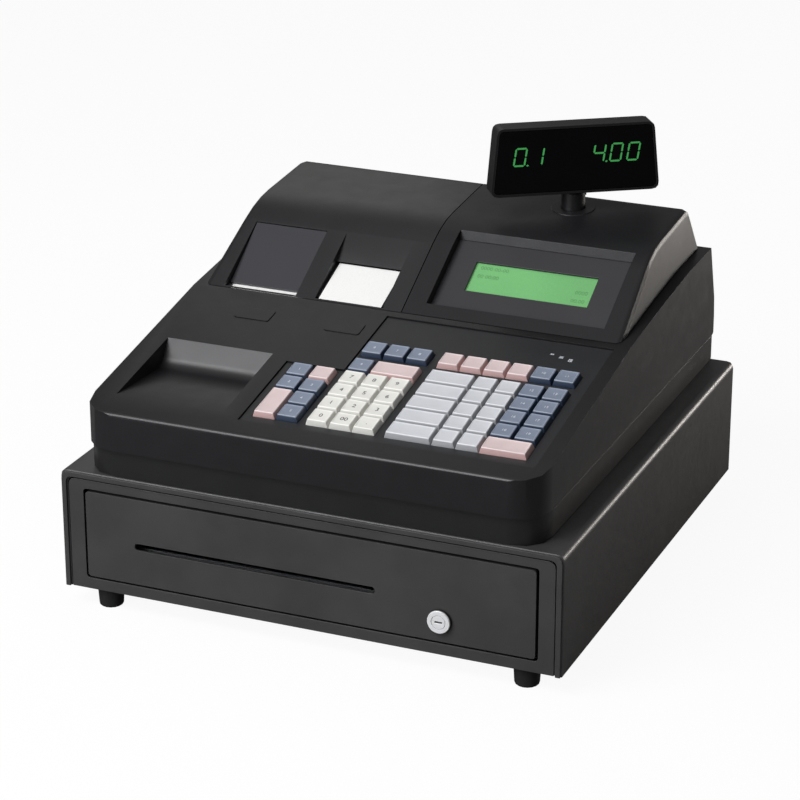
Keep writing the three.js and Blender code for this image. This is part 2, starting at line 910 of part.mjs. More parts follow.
function caseProfile(low) {
  return [
    [0, low],
    [backAt(low), low],
    ...ledgeLine().reverse(),
    [0, deckLevel, shell.noseRounding],
  ];
}

function casePlan(front, back) {
  return [
    [-caseHalf, front, shell.frontCorner],
    [caseHalf, front, shell.frontCorner],
    [caseHalf, back, shell.rearCorner],
    [-caseHalf, back, shell.rearCorner],
  ];
}

function lowerCase() {
  const back = backAt(splitLevel) - shell.backInset;
  const plan = casePlan(shell.skirtInset, back);
  const inner = inset(plan, shell.wall);
  const tray = cut(
    prism("z", plan, [caseLow, splitLevel]),
    prism("z", inner, [caseLow + shell.wall, splitLevel + over]),
  );
  const inlet = block(
    around(inletAcross, mains.inletWidth),
    [back - shell.wall - over, back + over],
    around(caseLow + mains.inletLevel, mains.inletHeight),
  );
  const posts = boardPosts().map((at) =>
    rod("z", at, shell.postRadius, [caseLow + shell.wall / 2, caseLow + shell.wall + board.posts]),
  );
  return join(cut(tray, inlet), ...posts);
}

function boardPosts() {
  return [boardAcross[0] + board.edge, boardAcross[1] - board.edge].flatMap((x) =>
    [board.front + board.edge, board.back - board.edge].map((y) => [x, y]),
  );
}

function dishProfile() {
  const front = deckLevel + dish.front * deckSlope;
  const backTop = deckLevel + (dish.back + dish.slope) * deckSlope;
  return [
    [dish.front, front],
    [dish.back, front - dish.fall, dish.bend],
    [dish.back + dish.slope, backTop],
  ];
}

// The panel's outline in the deck's frame, grown or shrunk by a distance.
function panelOutline(grow) {
  const corners = [
    [panelLeft, panel.front],
    [panelRight, panel.front],
    [panelRight, panel.back],
    [panelUpperLeft, panel.back],
    [panelUpperLeft, panel.middle],
    [panelLeft, panel.middle],
  ];
  return inset(corners, -grow);
}

function upperCase() {
  const deep = [-caseHalf - over, caseHalf + over];
  const inner = inset(caseProfile(upperLow - 2 * shell.wall), shell.wall);
  const plan = casePlan(0, backAt(upperLow));
  const tall = [upperLow - over, topLevel + over];
  const outside = prism("x", caseProfile(upperLow), deep).intersect(prism("z", plan, tall));
  const inside = prism("x", inner, deep).intersect(
    prism("z", inset(plan, shell.wall), [upperLow - over, topLevel]),
  );
  const bowl = dishProfile();
  const rim = deckLevel + topLevel;
  const bowlCut = [[bowl[0][0], rim], ...bowl, [bowl[2][0], rim]];
  const bowlWall = inset([...bowl].reverse(), -shell.wall);
  const pan = prism("x", bowlWall, [dishAcross[0] - shell.wall, dishAcross[1] + shell.wall]);
  const cover = join(cut(outside, inside), pan.intersect(outside));
  const [printerHole, displayHole] = [
    [-humpHalf + opening.margin, split - opening.margin],
    [split + 2 * opening.margin, humpHalf - opening.margin],
  ].map((across) =>
    block(across, [opening.front, shell.topDepth - opening.rearGap], [deckLevel, topLevel + over]),
  );
  const panelHole = prism("z", panelOutline(seat), [-2 * shell.wall, over], deckFrame);
  const buttonHoles = Object.values(buttonPlaces).map((x) =>
    prism("z", buttonOutline(x, seat), [-2 * shell.wall, over], deckFrame),
  );
  const bowlHole = prism("x", bowlCut, dishAcross);
  return cut(cover, bowlHole, printerHole, displayHole, panelHole, ...buttonHoles);
}

function buttonOutline(middle, grow) {
  const across = around(middle, button.width + 2 * grow);
  const along = [button.back - button.depth - grow, button.back + grow];
  return rectangle(across, along, button.rounding);
}

function releaseButton(middle) {
  const top = button.proud;
  const low = top - button.height;
  const cap = prism("z", buttonOutline(middle, 0), [low, top]);
  const lip = prism("z", buttonOutline(middle, button.lip), [
    -shell.wall - button.lipDrop,
    -shell.wall - button.lipDrop + button.lipHeight,
  ]);
  return join(cap, lip);
}

// Keys: cells are counted from the left of a block and from the back row to the front.
function cell(blockLeft, column, row, columns = 1, rows = 1) {
  const front = keys.front + (keys.rows - (row + rows - 1)) * keys.rowPitch + (row === 1 ? keys.rowGap : 0);
  const left = blockLeft + column * keys.pitch;
  return {
    across: [left, left + columns * keys.pitch],
    along: [front, front + rows * keys.rowPitch],
  };
}

// Shrinks a cell to a key that leaves the same edge on all sides as a single key does.
function keySpan([low, high], pitch, size) {
  const edge = (pitch - size) / 2;
  return [low + edge, high - edge];
}

const keyTop = keys.height - panel.recess;
const keySkirt = -panel.recess - keys.skirt;
const plateTop = keySkirt - keys.travel - running;

function frustum(across, along, [low, high], topAcross, topAlong) {
  const geometry = new THREE.BoxGeometry(1, 1, 1);
  const position = geometry.attributes.position;
  const middle = ([a, b]) => (a + b) / 2;
  for (let i = 0; i < position.count; i += 1) {
    const up = position.getZ(i) > 0;
    const [wide, deep] = up ? [topAcross, topAlong] : [across, along];
    position.setXYZ(
      i,
      middle(wide) + position.getX(i) * (wide[1] - wide[0]),
      middle(deep) + position.getY(i) * (deep[1] - deep[0]),
      up ? high : low,
    );
  }
  return solid(geometry);
}

function keyCap({ across, along }, skirtLow) {
  const wide = keySpan(across, keys.pitch, keys.width);
  const deep = keySpan(along, keys.rowPitch, keys.depth);
  const topWide = keySpan(across, keys.pitch, keys.topWidth);
  const topDeep = keySpan(along, keys.rowPitch, keys.topDepth);
  return join(
    block(wide, deep, [skirtLow, -panel.recess]),
    frustum(wide, deep, [-panel.recess, keyTop], topWide, topDeep),
  );
}

function keyStem({ across, along }, grow, depth) {
  const width = keys.stem + 2 * grow;
  const middle = (span) => (span[0] + span[1]) / 2;
  return block(around(middle(across), width), around(middle(along), width), depth);
}

function movingKeys() {
  const digits = [
    ["7", "8", "9"],
    ["4", "5", "6"],
    ["1", "2", "3"],
    ["0", "00", "decimal"],
  ];
  const numbers = digits.flatMap((names, i) =>
    names.map((name, j) => ({ name: `key_${name}`, cell: cell(middleBlock, j, i + 3) })),
  );
  return [
    ...numbers,
    { name: "key_clear", cell: cell(middleBlock, 1, 2, 2), pink: true },
    { name: "key_feed", cell: cell(leftBlock, 0, 5, 1, 2), pink: true },
    { name: "key_total", cell: cell(rightBlock, 4, 6, 2), pink: true },
  ];
}

function fixedKeys() {
  const single = (left, columns, rows) =>
    rows.flatMap((row) => columns.map((column) => cell(left, column, row)));
  return [
    ...single(leftBlock, [0, 1], [3, 4]),
    ...single(leftBlock, [1], [5, 6]),
    ...single(middleBlock, [0, 1, 2], [1]),
    ...single(middleBlock, [0], [2]),
    ...single(rightBlock, [0, 1, 2, 3, 4, 5], [1]),
    ...single(rightBlock, [2, 3], [2, 3, 4, 5, 6]),
    ...single(rightBlock, [4, 5], [2, 3, 4, 5]),
    ...[2, 3, 4, 5, 6].map((row) => cell(rightBlock, 0, row, 2)),
  ];
}

function movingKey(place) {
  return join(
    keyCap(place, keySkirt),
    keyStem(place, 0, [keySkirt - keys.stemLength, keySkirt + keys.skirt / 2]),
  );
}

function switchFrame() {
  const left = leftBlock - switches.margin;
  const right = rightBlock + keys.rightColumns * keys.pitch + switches.margin;
  const back = keys.front + keys.rows * keys.rowPitch + keys.rowGap + switches.margin;
  const plate = block([left, right], [keys.front - switches.margin, back], [
    plateTop - switches.thickness,
    plateTop,
  ]);
  const caps = fixedKeys().map((place) => keyCap(place, plateTop - switches.thickness / 2));
  const sockets = movingKeys().map(({ cell: place }) =>
    keyStem(place, seat, [plateTop - switches.thickness - over, plateTop + over]),
  );
  return cut(join(plate, ...caps), ...sockets);
}

function keyboardPanel() {
  const plate = prism("z", panelOutline(0), [-panel.recess - panel.thickness, -panel.recess]);
  const ease = (keys.pitch - keys.width) / 2 - seat;
  const holes = [
    [leftBlock, 2, 3, keys.rows],
    [middleBlock, 3, 2, keys.rows],
    [rightBlock, keys.rightColumns, 2, keys.rows],
    [middleBlock, 3, 1, 1],
    [rightBlock, keys.rightColumns, 1, 1],
  ].map(([left, columns, first, last]) => {
    const { across, along } = cell(left, 0, first, columns, last - first + 1);
    const shrink = ([low, high]) => [low + ease, high - ease];
    return block(shrink(across), shrink(along), [-panel.recess - panel.thickness - over, over]);
  });
  return cut(plate, ...holes);
}

// Where the slope's line meets the top's, before the bend between them.
function humpRidge() {
  const slope = hump.angle * degree;
  return [
    hump.front + hump.slopeLength * Math.cos(slope),
    humpLevel + hump.slopeLength * Math.sin(slope),
  ];
}

function humpTopAt(depth) {
  const ridge = humpRidge();
  return ridge[1] + (depth - ridge[0]) * Math.tan(hump.topAngle * degree);
}

// The raised part's outline from the side: slope, flat top and steep back, run on below the ledge.
function humpProfile() {
  const slope = hump.angle * degree;
  const top = hump.topAngle * degree;
  const back = hump.backAngle * degree;
  const ridge = humpRidge();
  const rear = [
    ridge[0] + hump.topLength * Math.cos(top),
    ridge[1] + hump.topLength * Math.sin(top),
  ];
  const low = humpLevel - hump.depthBelow;
  return [
    [hump.front - (humpLevel - low) / Math.tan(slope), low],
    [rear[0] + (rear[1] - low) / Math.tan(back), low],
    [...rear, hump.rearBend],
    [...ridge, hump.ridgeBend],
  ];
}

// The raised part as a solid with rounded, slightly leaning sides, smaller by a wall.
function humpBody(wall) {
  const rounding = hump.sideRounding - wall;
  const shape = new THREE.Shape(outline(inset(humpProfile(), wall)));
  const width = 2 * (humpHalf - wall - rounding);
  const geometry = new THREE.ExtrudeGeometry(shape, {
    depth: width,
    bevelThickness: rounding,
    bevelSize: rounding,
    bevelOffset: -rounding,
    bevelSegments: hump.cornerSteps,
  });
  const turn = new THREE.Matrix4();
  turn.set(0, 0, 1, -width / 2, 1, 0, 0, 0, 0, 1, 0, 0, 0, 0, 0, 1);
  geometry.applyMatrix4(turn);
  const position = geometry.attributes.position;
  const climb = hump.slopeLength * Math.sin(hump.angle * degree);
  for (let i = 0; i < position.count; i += 1) {
    const lean = (hump.taper * (position.getZ(i) - humpLevel)) / climb;
    position.setX(i, position.getX(i) * (1 - lean));
  }
  return solid(geometry);
}

// All that lies below the raised part's lower edge.
function belowLedge() {
  const line = ledgeLine(seat);
  const low = humpLevel - 2 * hump.depthBelow;
  const front = shell.deckDepth - 3 * hump.depthBelow;
  const back = shell.topDepth + hump.depthBelow;
  return prism(
    "x",
    [[front, low], [back, low], [back, topLevel + seat], ...line.reverse(), [front, line[0][1]]],
    [-caseHalf, caseHalf],
  );
}

// Half of the raised part as a hollow shell, from one side's end to the split.
function humpShell(across, hollowAcross) {
  const levels = [humpLevel - 2 * hump.depthBelow, topLevel + humpWidth];
  const depths = [hump.front - humpWidth, shell.topDepth + humpWidth];
  const outer = humpBody(0).intersect(block(across, depths, levels));
  const inner = humpBody(hump.wall).intersect(block(hollowAcross, depths, levels));
  return { outer: cut(outer, belowLedge()), shell: cut(outer, inner, belowLedge()) };
}

// The display's recess, grown by a wall, between two levels. Its upper wall leans back.
function recessBody(grow, low, high) {
  const backAtLevel = (level) => recess.back + (recess.lean / recess.depth) * level + grow;
  const section = [
    [recess.front - grow, low],
    [backAtLevel(low), low],
    [backAtLevel(high), high],
    [recess.front - grow, high],
  ];
  return prism("x", section, [recessAcross[0] - grow, recessAcross[1] + grow], humpFrame);
}

function displayHousing() {
  const left = split + seat;
  const { outer, shell: hollow } = humpShell([left, caseHalf], [left + hump.wall, caseHalf]);
  const collar = recessBody(recess.wall, -recess.depth, over);
  const dip = recessBody(0, -recess.depth - over, over);
  const at = [poleAcross, display.depth];
  const surface = humpTopAt(display.depth);
  const ringFrame = frameAt([...at, surface], hump.topAngle);
  const ringSpan = [-pole.ringHeight, pole.ringProud];
  const ring = rod("z", [0, 0], pole.ringRadius, ringSpan, wheelSides, ringFrame);
  const socketLow = cabinet.height + pole.foot - seat - pole.socketFloor;
  const socketRadius = pole.radius + seat + pole.socketWall;
  const socket = rod("z", at, socketRadius, [socketLow, surface - pole.ringHeight / 2], wheelSides);
  const bore = rod(
    "z",
    at,
    pole.radius + seat,
    [socketLow + pole.socketFloor, surface + pole.ringRadius],
    wheelSides,
  );
  return cut(join(hollow, collar.intersect(outer), ring, socket), dip, bore);
}

function lcdBezel() {
  const across = [recessAcross[0] - recess.wall, recessAcross[1] + recess.wall];
  const along = [recess.front - recess.wall, recess.back + recess.wall];
  const top = -recess.depth - seat;
  const plate = block(across, along, [top - screen.bezel, top]);
  const view = [screen.front, screen.back];
  return cut(plate, block(screenAcross, view, [top - screen.bezel - over, top + over]));
}

function lcdScreen() {
  const top = -recess.depth - 2 * seat - screen.bezel;
  const across = [screenAcross[0] - screen.margin, screenAcross[1] + screen.margin];
  const along = [screen.front - screen.margin, screen.back + screen.margin];
  return block(across, along, [top - screen.thickness, top]);
}

// The line of the receipt well's lower guide, from its lip to the mouth that the paper leaves by.
function guideDepth(along, lift = 0) {
  const slope = (well.mouthLow - well.lip) / (well.mouth - well.front);
  return -well.lip - slope * (along - well.front) + lift;
}

function printerCover() {
  const right = split - seat;
  const { outer, shell: hollow } = humpShell([-caseHalf, right], [-caseHalf, right - hump.wall]);
  const receiptBlock = block(
    [wellAcross[0] - well.sideWall, wellAcross[1] + well.sideWall],
    [well.front - well.wall, well.back + well.sideWall],
    [-well.block, over],
    humpFrame,
  );
  const receiptDip = prism(
    "x",
    [
      [well.front, humpWidth],
      [well.front, guideDepth(well.front)],
      [well.mouth, -well.mouthLow],
      [well.mouth, -well.mouthHigh],
      [well.back, 0],
      [well.back, humpWidth],
    ],
    wellAcross,
    humpFrame,
  );
  const throatFall = well.block - well.mouthLow + over;
  const throatSlope = throatFall / well.throatRun;
  const throatTop = well.mouth + well.throatRun + well.throatHeight;
  const throat = prism(
    "x",
    [
      [well.mouth - seat, -well.mouthLow],
      [well.mouth + well.throatRun, -well.mouthLow - throatFall],
      [throatTop, -well.mouthLow - throatFall],
      [throatTop - (throatFall + well.mouthHigh - well.mouthLow) / throatSlope - seat, -well.mouthHigh],
      [well.mouth - seat, -well.mouthHigh],
    ],
    wellAcross,
    humpFrame,
  );
  const collar = block(
    [windowAcross[0] - well.sideWall, windowAcross[1] + well.sideWall],
    [well.front - well.wall, windowWell.back + well.sideWall],
    [-windowWell.depth, over],
    humpFrame,
  );
  const windowDip = block(
    windowAcross,
    [well.front, windowWell.back],
    [-windowWell.depth - over, humpWidth],
    humpFrame,
  );
  const wells = join(receiptBlock, collar).intersect(outer);
  return cut(join(hollow, wells), receiptDip, throat, windowDip);
}

function journalWindow() {
  const back = windowWell.back - seat;
  return prism(
    "x",
    [
      [back, -windowWell.plateTop],
      [windowWell.plateFront, -windowWell.plateLow],
      [windowWell.plateFront, -windowWell.plateLow - windowWell.plate],
      [back, -windowWell.plateTop - windowWell.plate],
    ],
    [windowAcross[0] + seat, windowAcross[1] - seat],
  );
}

function receiptPaper() {
  const start = well.front + running;
  const end = well.mouth - seat;
  return prism(
    "x",
    [
      [start, guideDepth(start, seat)],
      [end, guideDepth(end, seat)],
      [end, guideDepth(end, seat + paper.thickness)],
      [start, guideDepth(start, seat + paper.thickness)],
    ],
    around(receiptMiddle, paper.width),
  );
}

function journalPaper() {
  const low = seat - printer.tableGap;
  return block(
    around((windowAcross[0] + windowAcross[1]) / 2, paper.journalWidth),
    [paper.journalFront, paper.journalFront + paper.journalLength],
    [low, low + paper.thickness],
  );
}

// Places of the printer's stations: the middle of each paper's width, and each roller's axis.
const receiptMiddle = (wellAcross[0] + wellAcross[1]) / 2;
const journalMiddle = (printerLeft + printerMiddle + printer.plate) / 2;
const axisOf = ({ depth, rise }) => [depth, cabinet.height + rise];

function slopeLevel(depth, gap) {
  const slope = hump.angle * degree;
  return humpLevel + (depth - hump.front) * Math.tan(slope) - gap / Math.cos(slope);
}

function printerFrame() {
  const low = caseLow + shell.wall + seat;
  const rear = cabinet.height + printer.rearRise;
  const sideGap = printer.tableGap - printer.table / 2;
  const side = [
    [printer.front, low],
    [printer.back, low],
    [printer.back, rear],
    [printer.ridge + printer.ridgeLength + printer.slopeRun, rear],
    [printer.ridge + printer.ridgeLength, slopeLevel(printer.ridge, sideGap)],
    [printer.ridge, slopeLevel(printer.ridge, sideGap)],
    [printer.front, slopeLevel(printer.front, sideGap)],
  ];
  const plates = [printerLeft, printerMiddle, printerRight].map((x) =>
    prism("x", side, [x, x + printer.plate]),
  );
  const floor = block([printerLeft, printerRight + printer.plate], [printer.front, printer.back], [
    low,
    low + printer.plate,
  ]);
  const table = block(
    around(journalMiddle, printer.journalPitch),
    [printer.tableFront, printer.tableBack],
    [-printer.tableGap - printer.table, -printer.tableGap],
    humpFrame,
  );
  const whole = [printerLeft - over, printerRight + 2 * over];
  const journalSide = [printerLeft - over, printerMiddle + over];
  const holes = [
    rod("x", [0, ...axisOf(platen)], platen.spindle + seat, whole),
    rod("x", [0, ...axisOf(roll)], roll.spindle + seat, whole),
    rod("x", [0, ...axisOf(spool)], spool.spindle + seat, journalSide),
  ];
  return cut(join(...plates, floor, table), ...holes);
}

// A roller between two side plates, with a spindle that ends inside each plate's hole.
function roller(size, left, right, radius = size.radius, width) {
  const at = [0, ...axisOf(size)];
  const spindle = rod("x", at, size.spindle, [left + seat, right - seat]);
  const gap = 2 * running + printer.plate;
  const body = width ? around((left + right) / 2, width) : [left + gap, right - gap];
  return join(spindle, rod("x", at, radius, body, wheelSides));
}

function takeUpSpool() {
  const left = printerLeft;
  const right = printerMiddle + printer.plate / 2;
  const ends = around((left + right) / 2, spool.width);
  const at = [0, ...axisOf(spool)];
  const flanges = [
    rod("x", at, spool.radius, [ends[0], ends[0] + spool.flange], wheelSides),
    rod("x", at, spool.radius, [ends[1] - spool.flange, ends[1]], wheelSides),
  ];
  return join(roller(spool, left, right, spool.core), ...flanges);
}

// The pole: a round post, a flat tongue above it and the pin that the display tilts on.
function displayPole() {
  const low = cabinet.height + pole.foot - (cabinet.height + display.hingeRise);
  const top = -display.belowHinge - pole.topGap;
  const half = pole.tongueThickness / 2;
  const post = rod("z", [0, 0], pole.radius, [low, top], wheelSides);
  const tongue = prism(
    "x",
    [
      [-half, top - over],
      [half, top - over],
      [half, half, half],
      [-half, half, half],
    ],
    around(0, pole.tongueWidth),
  );
  const pin = rod("x", [0, 0, 0], pole.pinRadius, around(0, 2 * (display.pocketHalf + pole.pinOverlap)));
  return join(post, tongue, pin);
}

function displayOutline() {
  const low = -display.belowHinge;
  const high = low + display.height;
  return [
    [-display.lowerWidth / 2, low, display.corner],
    [display.lowerWidth / 2, low, display.corner],
    [display.upperWidth / 2, high, display.corner],
    [-display.upperWidth / 2, high, display.corner],
  ];
}

function customerDisplay() {
  const shape = new THREE.Shape(outline(displayOutline()));
  const geometry = new THREE.ExtrudeGeometry(shape, {
    depth: display.thickness - display.backTaper,
    bevelThickness: display.backTaper,
    bevelSize: display.backTaper,
    bevelOffset: -display.backTaper,
    bevelSegments: 1,
  });
  const turn = new THREE.Matrix4();
  const back = display.thickness - display.face;
  turn.set(1, 0, 0, 0, 0, 0, -1, back - display.backTaper, 0, 1, 0, 0, 0, 0, 0, 1);
  geometry.applyMatrix4(turn);
  const front = [-display.face - display.backTaper - over, -display.face];
  const body = cut(solid(geometry), prism("y", inset(displayOutline(), -over), front));
  const glass = inset(displayOutline(), display.windowMargin);
  const dip = prism("y", glass, [-display.face - over, -display.face + display.windowRecess]);
  const pocket = block(
    [-display.pocketHalf, display.pocketHalf],
    [-display.pocketDepth, display.pocketDepth],
    [-display.belowHinge - over, display.pocketRise],
  );
  const pinLength = 2 * (display.pocketHalf + pole.pinOverlap + running);
  const bore = rod("x", [0, 0, 0], pole.pinRadius + seat, around(0, pinLength));
  const shift = new THREE.Matrix4().makeTranslation(-display.offset, 0, 0);
  const hinge = [pocket, bore].map((one) => one.transform(shift.elements));
  return cut(body, dip, ...hinge);
}

function customerWindow() {
  const glass = inset(displayOutline(), display.windowMargin + seat);
  const back = -display.face + display.windowRecess - seat;
  return prism("y", glass, [back - display.window, back]);
}

function mainBoard() {
  const low = caseLow + shell.wall + board.posts + seat;
  return block(boardAcross, [board.front, board.back], [low, low + board.thickness]);
}

function transformer() {
  const low = caseLow + shell.wall + seat;
  const along = [mains.front, mains.front + mains.depth];
  const core = block(mainsAcross, along, [low, low + mains.coreHeight]);
  const coil = block(
    [mainsAcross[0] + mains.coreInset, mainsAcross[1] - mains.coreInset],
    along,
    [low, low + mains.height],
  );
  return join(core, coil);
}

function powerInlet() {
  const back = backAt(splitLevel) - shell.backInset;
  const level = caseLow + mains.inletLevel;
  const width = mains.inletWidth - 2 * seat;
  const height = mains.inletHeight - 2 * seat;
  const end = back + seat;
  const depth = [end - mains.inletDepth, end + over / 2];
  const body = block(around(inletAcross, width), depth, around(level, height));
  const flange = block(
    around(inletAcross, width + 2 * mains.flange),
    [end, end + mains.flangeThickness],
    around(level, height + 2 * mains.flange),
  );
  const socket = block(
    around(inletAcross, width - 2 * mains.socketWall),
    [end - mains.inletDepth + mains.socketWall, end + 2 * over],
    around(level, height - 2 * mains.socketWall),
  );
  return cut(join(body, flange), socket);
}

const greyPlastic = () => finish(0x5d5e64, 0.5);
const clearPlastic = () => finish(0x22242a, 0.15);
const whitePaper = () => finish(0xf1f0ea, 0.9);
const greenGlass = () => finish(0x9fb88a, 0.2);
const circuitGreen = () => finish(0x1f5a36, 0.6);
const whiteKey = () => finish(0xe6e4dc, 0.5);
const pinkKey = () => finish(0xe3b9ae, 0.5);
const blueKey = () => finish(0x8492a8, 0.5);

function placedGroup(matrix, ...meshes) {
  const group = new THREE.Group();
  matrix.decompose(group.position, group.quaternion, group.scale);
  group.add(...meshes);
  return group;
}

function keyboardGroup() {
  const moving = movingKeys().map(({ name, cell: place, pink }) =>
    piece(name, movingKey(place), pink ? pinkKey() : whiteKey()),
  );
  return placedGroup(
    deckFrame,
    piece("keyboard_panel", keyboardPanel(), darkPlastic()),
    piece("switch_frame", switchFrame(), blueKey()),
    piece("release_button_journal", releaseButton(buttonPlaces.journal), darkPlastic()),
    piece("release_button_receipt", releaseButton(buttonPlaces.receipt), darkPlastic()),
    ...moving,
  );
}

function slopeGroup() {
  return placedGroup(
    humpFrame,
    piece("lcd_bezel", lcdBezel(), blackPlastic()),
    piece("lcd_screen", lcdScreen(), greenGlass()),
    piece("journal_window", journalWindow(), clearPlastic()),
    piece("receipt_paper", receiptPaper(), whitePaper()),
    piece("journal_paper", journalPaper(), whitePaper()),
  );
}

function printerGroup() {
  const shared = printerMiddle + printer.plate / 2;
  const receiptSides = [shared, printerRight + printer.plate];
  const journalSides = [printerLeft, shared];
  const group = new THREE.Group();
  group.add(
    piece("printer_frame", printerFrame(), zincSteel()),
    piece("receipt_platen", roller(platen, ...receiptSides), rubber()),
    piece("journal_platen", roller(platen, ...journalSides), rubber()),
    piece("receipt_roll", roller(roll, ...receiptSides, roll.radius, roll.width), whitePaper()),
    piece("journal_roll", roller(roll, ...journalSides, roll.radius, roll.width), whitePaper()),
    piece("take_up_spool", takeUpSpool(), greyPlastic()),
  );
  return group;
}

function customerDisplayGroup() {
  const at = [poleAcross, display.depth, cabinet.height + display.hingeRise];
  const head = placedGroup(
    frameAt([display.offset, 0, 0], display.tilt),
    piece("customer_display", customerDisplay(), greyPlastic()),
    piece("customer_window", customerWindow(), blackPlastic()),
  );
  const post = piece("display_pole", displayPole(), blackPlastic());
  return placedGroup(frameAt(at, 0, display.yaw), post, head);
}

function registerGroup() {
  const group = new THREE.Group();
  group.add(
    piece("lower_case", lowerCase(), greyPlastic()),
    piece("upper_case", upperCase(), darkPlastic()),
    piece("display_housing", displayHousing(), darkPlastic()),
    piece("printer_cover", printerCover(), darkPlastic()),
    piece("main_board", mainBoard(), circuitGreen()),
    piece("transformer", transformer(), zincSteel()),
    piece("power_inlet", powerInlet(), blackPlastic()),
    keyboardGroup(),
    slopeGroup(),
    printerGroup(),
    customerDisplayGroup(),
  );
  return group;
}

// The origin lies under the middle of the whole, on the surface that the feet stand on.
const frontEnd = front.setback - seat - lock.proud;
const whole = new THREE.Group();
whole.position.set(0, -(frontEnd + backAt(upperLow)) / 2, foot.height);
whole.add(cabinetGroup(), registerGroup());

export default whole;
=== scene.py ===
import json
import math

import bmesh
import bpy
from bpy.props import FloatProperty, FloatVectorProperty, PointerProperty
from mathutils import Matrix, Vector


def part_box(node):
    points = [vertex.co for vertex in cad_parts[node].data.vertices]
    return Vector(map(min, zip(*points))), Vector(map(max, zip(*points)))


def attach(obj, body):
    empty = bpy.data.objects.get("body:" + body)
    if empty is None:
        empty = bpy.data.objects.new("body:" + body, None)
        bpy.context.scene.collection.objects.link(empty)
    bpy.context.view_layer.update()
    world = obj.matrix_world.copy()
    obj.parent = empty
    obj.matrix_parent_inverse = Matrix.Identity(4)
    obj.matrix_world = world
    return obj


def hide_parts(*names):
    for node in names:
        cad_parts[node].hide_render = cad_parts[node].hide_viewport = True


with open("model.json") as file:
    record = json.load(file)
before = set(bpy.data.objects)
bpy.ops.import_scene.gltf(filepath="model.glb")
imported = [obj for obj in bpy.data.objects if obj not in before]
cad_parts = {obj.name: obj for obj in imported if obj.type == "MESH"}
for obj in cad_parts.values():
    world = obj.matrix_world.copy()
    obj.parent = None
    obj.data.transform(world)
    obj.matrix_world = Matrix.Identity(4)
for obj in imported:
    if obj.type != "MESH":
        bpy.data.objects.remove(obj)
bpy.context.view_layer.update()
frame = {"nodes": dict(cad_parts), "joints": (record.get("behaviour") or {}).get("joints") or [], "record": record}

bl_info = {
    "name": "Cash register dresser",
    "version": (1, 0, 0),
    "blender": (4, 5, 0),
    "location": "View3D > Sidebar > Register",
    "description": "Dresses the packed cash register with soft edges, keys, displays and finishes",
    "category": "Object",
}

NODES = frame["nodes"]
BODY_OF = {
    node: body
    for body, members in frame["record"]["behaviour"]["bodies"].items()
    for node in members
}

# Points this close are one point. Edges flatter than FLAT go, and those over SHARP are rounded.
TOUCHING = 2e-6
FLAT = math.radians(0.6)
SHARP = math.radians(34)

# The least and the greatest value of a noise that a mottled colour uses.
MOTTLE = (0.3, 0.7)
# Shares of a key's height between which the painted shade on its sides gives way to its top's tone.
KEY_SHADE_BLEND = (0.76, 0.92)
WHITE = (1, 1, 1)
# The floor's tone where it lights the object, rather than being seen.
FLOOR_LIGHT = (0.2, 0.2, 0.2)

# Each lamp's place, its width and height, and its tone.
LAMPS = {
    "top": ((-0.3, 0.2, 2.4), (1.8, 1.8), WHITE),
    "front": ((-1.0, -1.95, 1.75), (1.5, 2.7), (0.97, 0.98, 1)),
    "rear": ((-0.45, 0.72, 0.68), (0.4, 0.4), (1, 0.98, 0.95)),
    "side": ((0.95, 1.6, 0.12), (1.0, 0.2), (1, 0.94, 0.88)),
    "low": ((-0.95, -2.3, 0.72), (0.9, 0.5), (0.93, 0.95, 1)),
    "strip": ((-0.75, -1.55, 2.15), (2.2, 0.2), WHITE),
}


def size(name, default, description):
    return FloatProperty(name=name, default=default, unit="LENGTH", precision=6, description=description)


def angle(name, degrees, description):
    return FloatProperty(name=name, default=math.radians(degrees), subtype="ANGLE", description=description)


def colour(name, default, description):
    return FloatVectorProperty(
        name=name, default=default, size=3, min=0, max=1, subtype="COLOR", description=description
    )


class RegisterCaseSizes(bpy.types.PropertyGroup):
    """Places of the register's sloping surfaces, and how soft its edges are."""

    deck_angle: angle("Deck angle", 10.04, "Slope of the keyboard deck")
    deck_level: size("Deck level", 0.1508, "Height of the deck's plane at the nose, above the cabinet's foot")
    hump_angle: angle("Slope angle", 28.94, "Slope of the raised part's front")
    hump_front: size("Slope foot", 0.197, "From the nose to the foot of the raised part's slope")
    hump_level: size("Slope level", 0.1846, "Height of the slope's foot above the cabinet's foot")
    case_edge: size("Case edge", 0.0016, "Rounding of the moulded case's edges")
    steel_edge: size("Steel edge", 0.0006, "Rounding of the folded steel's edges")
    fine_edge: size("Fine edge", 0.0003, "Rounding of small pieces' edges")


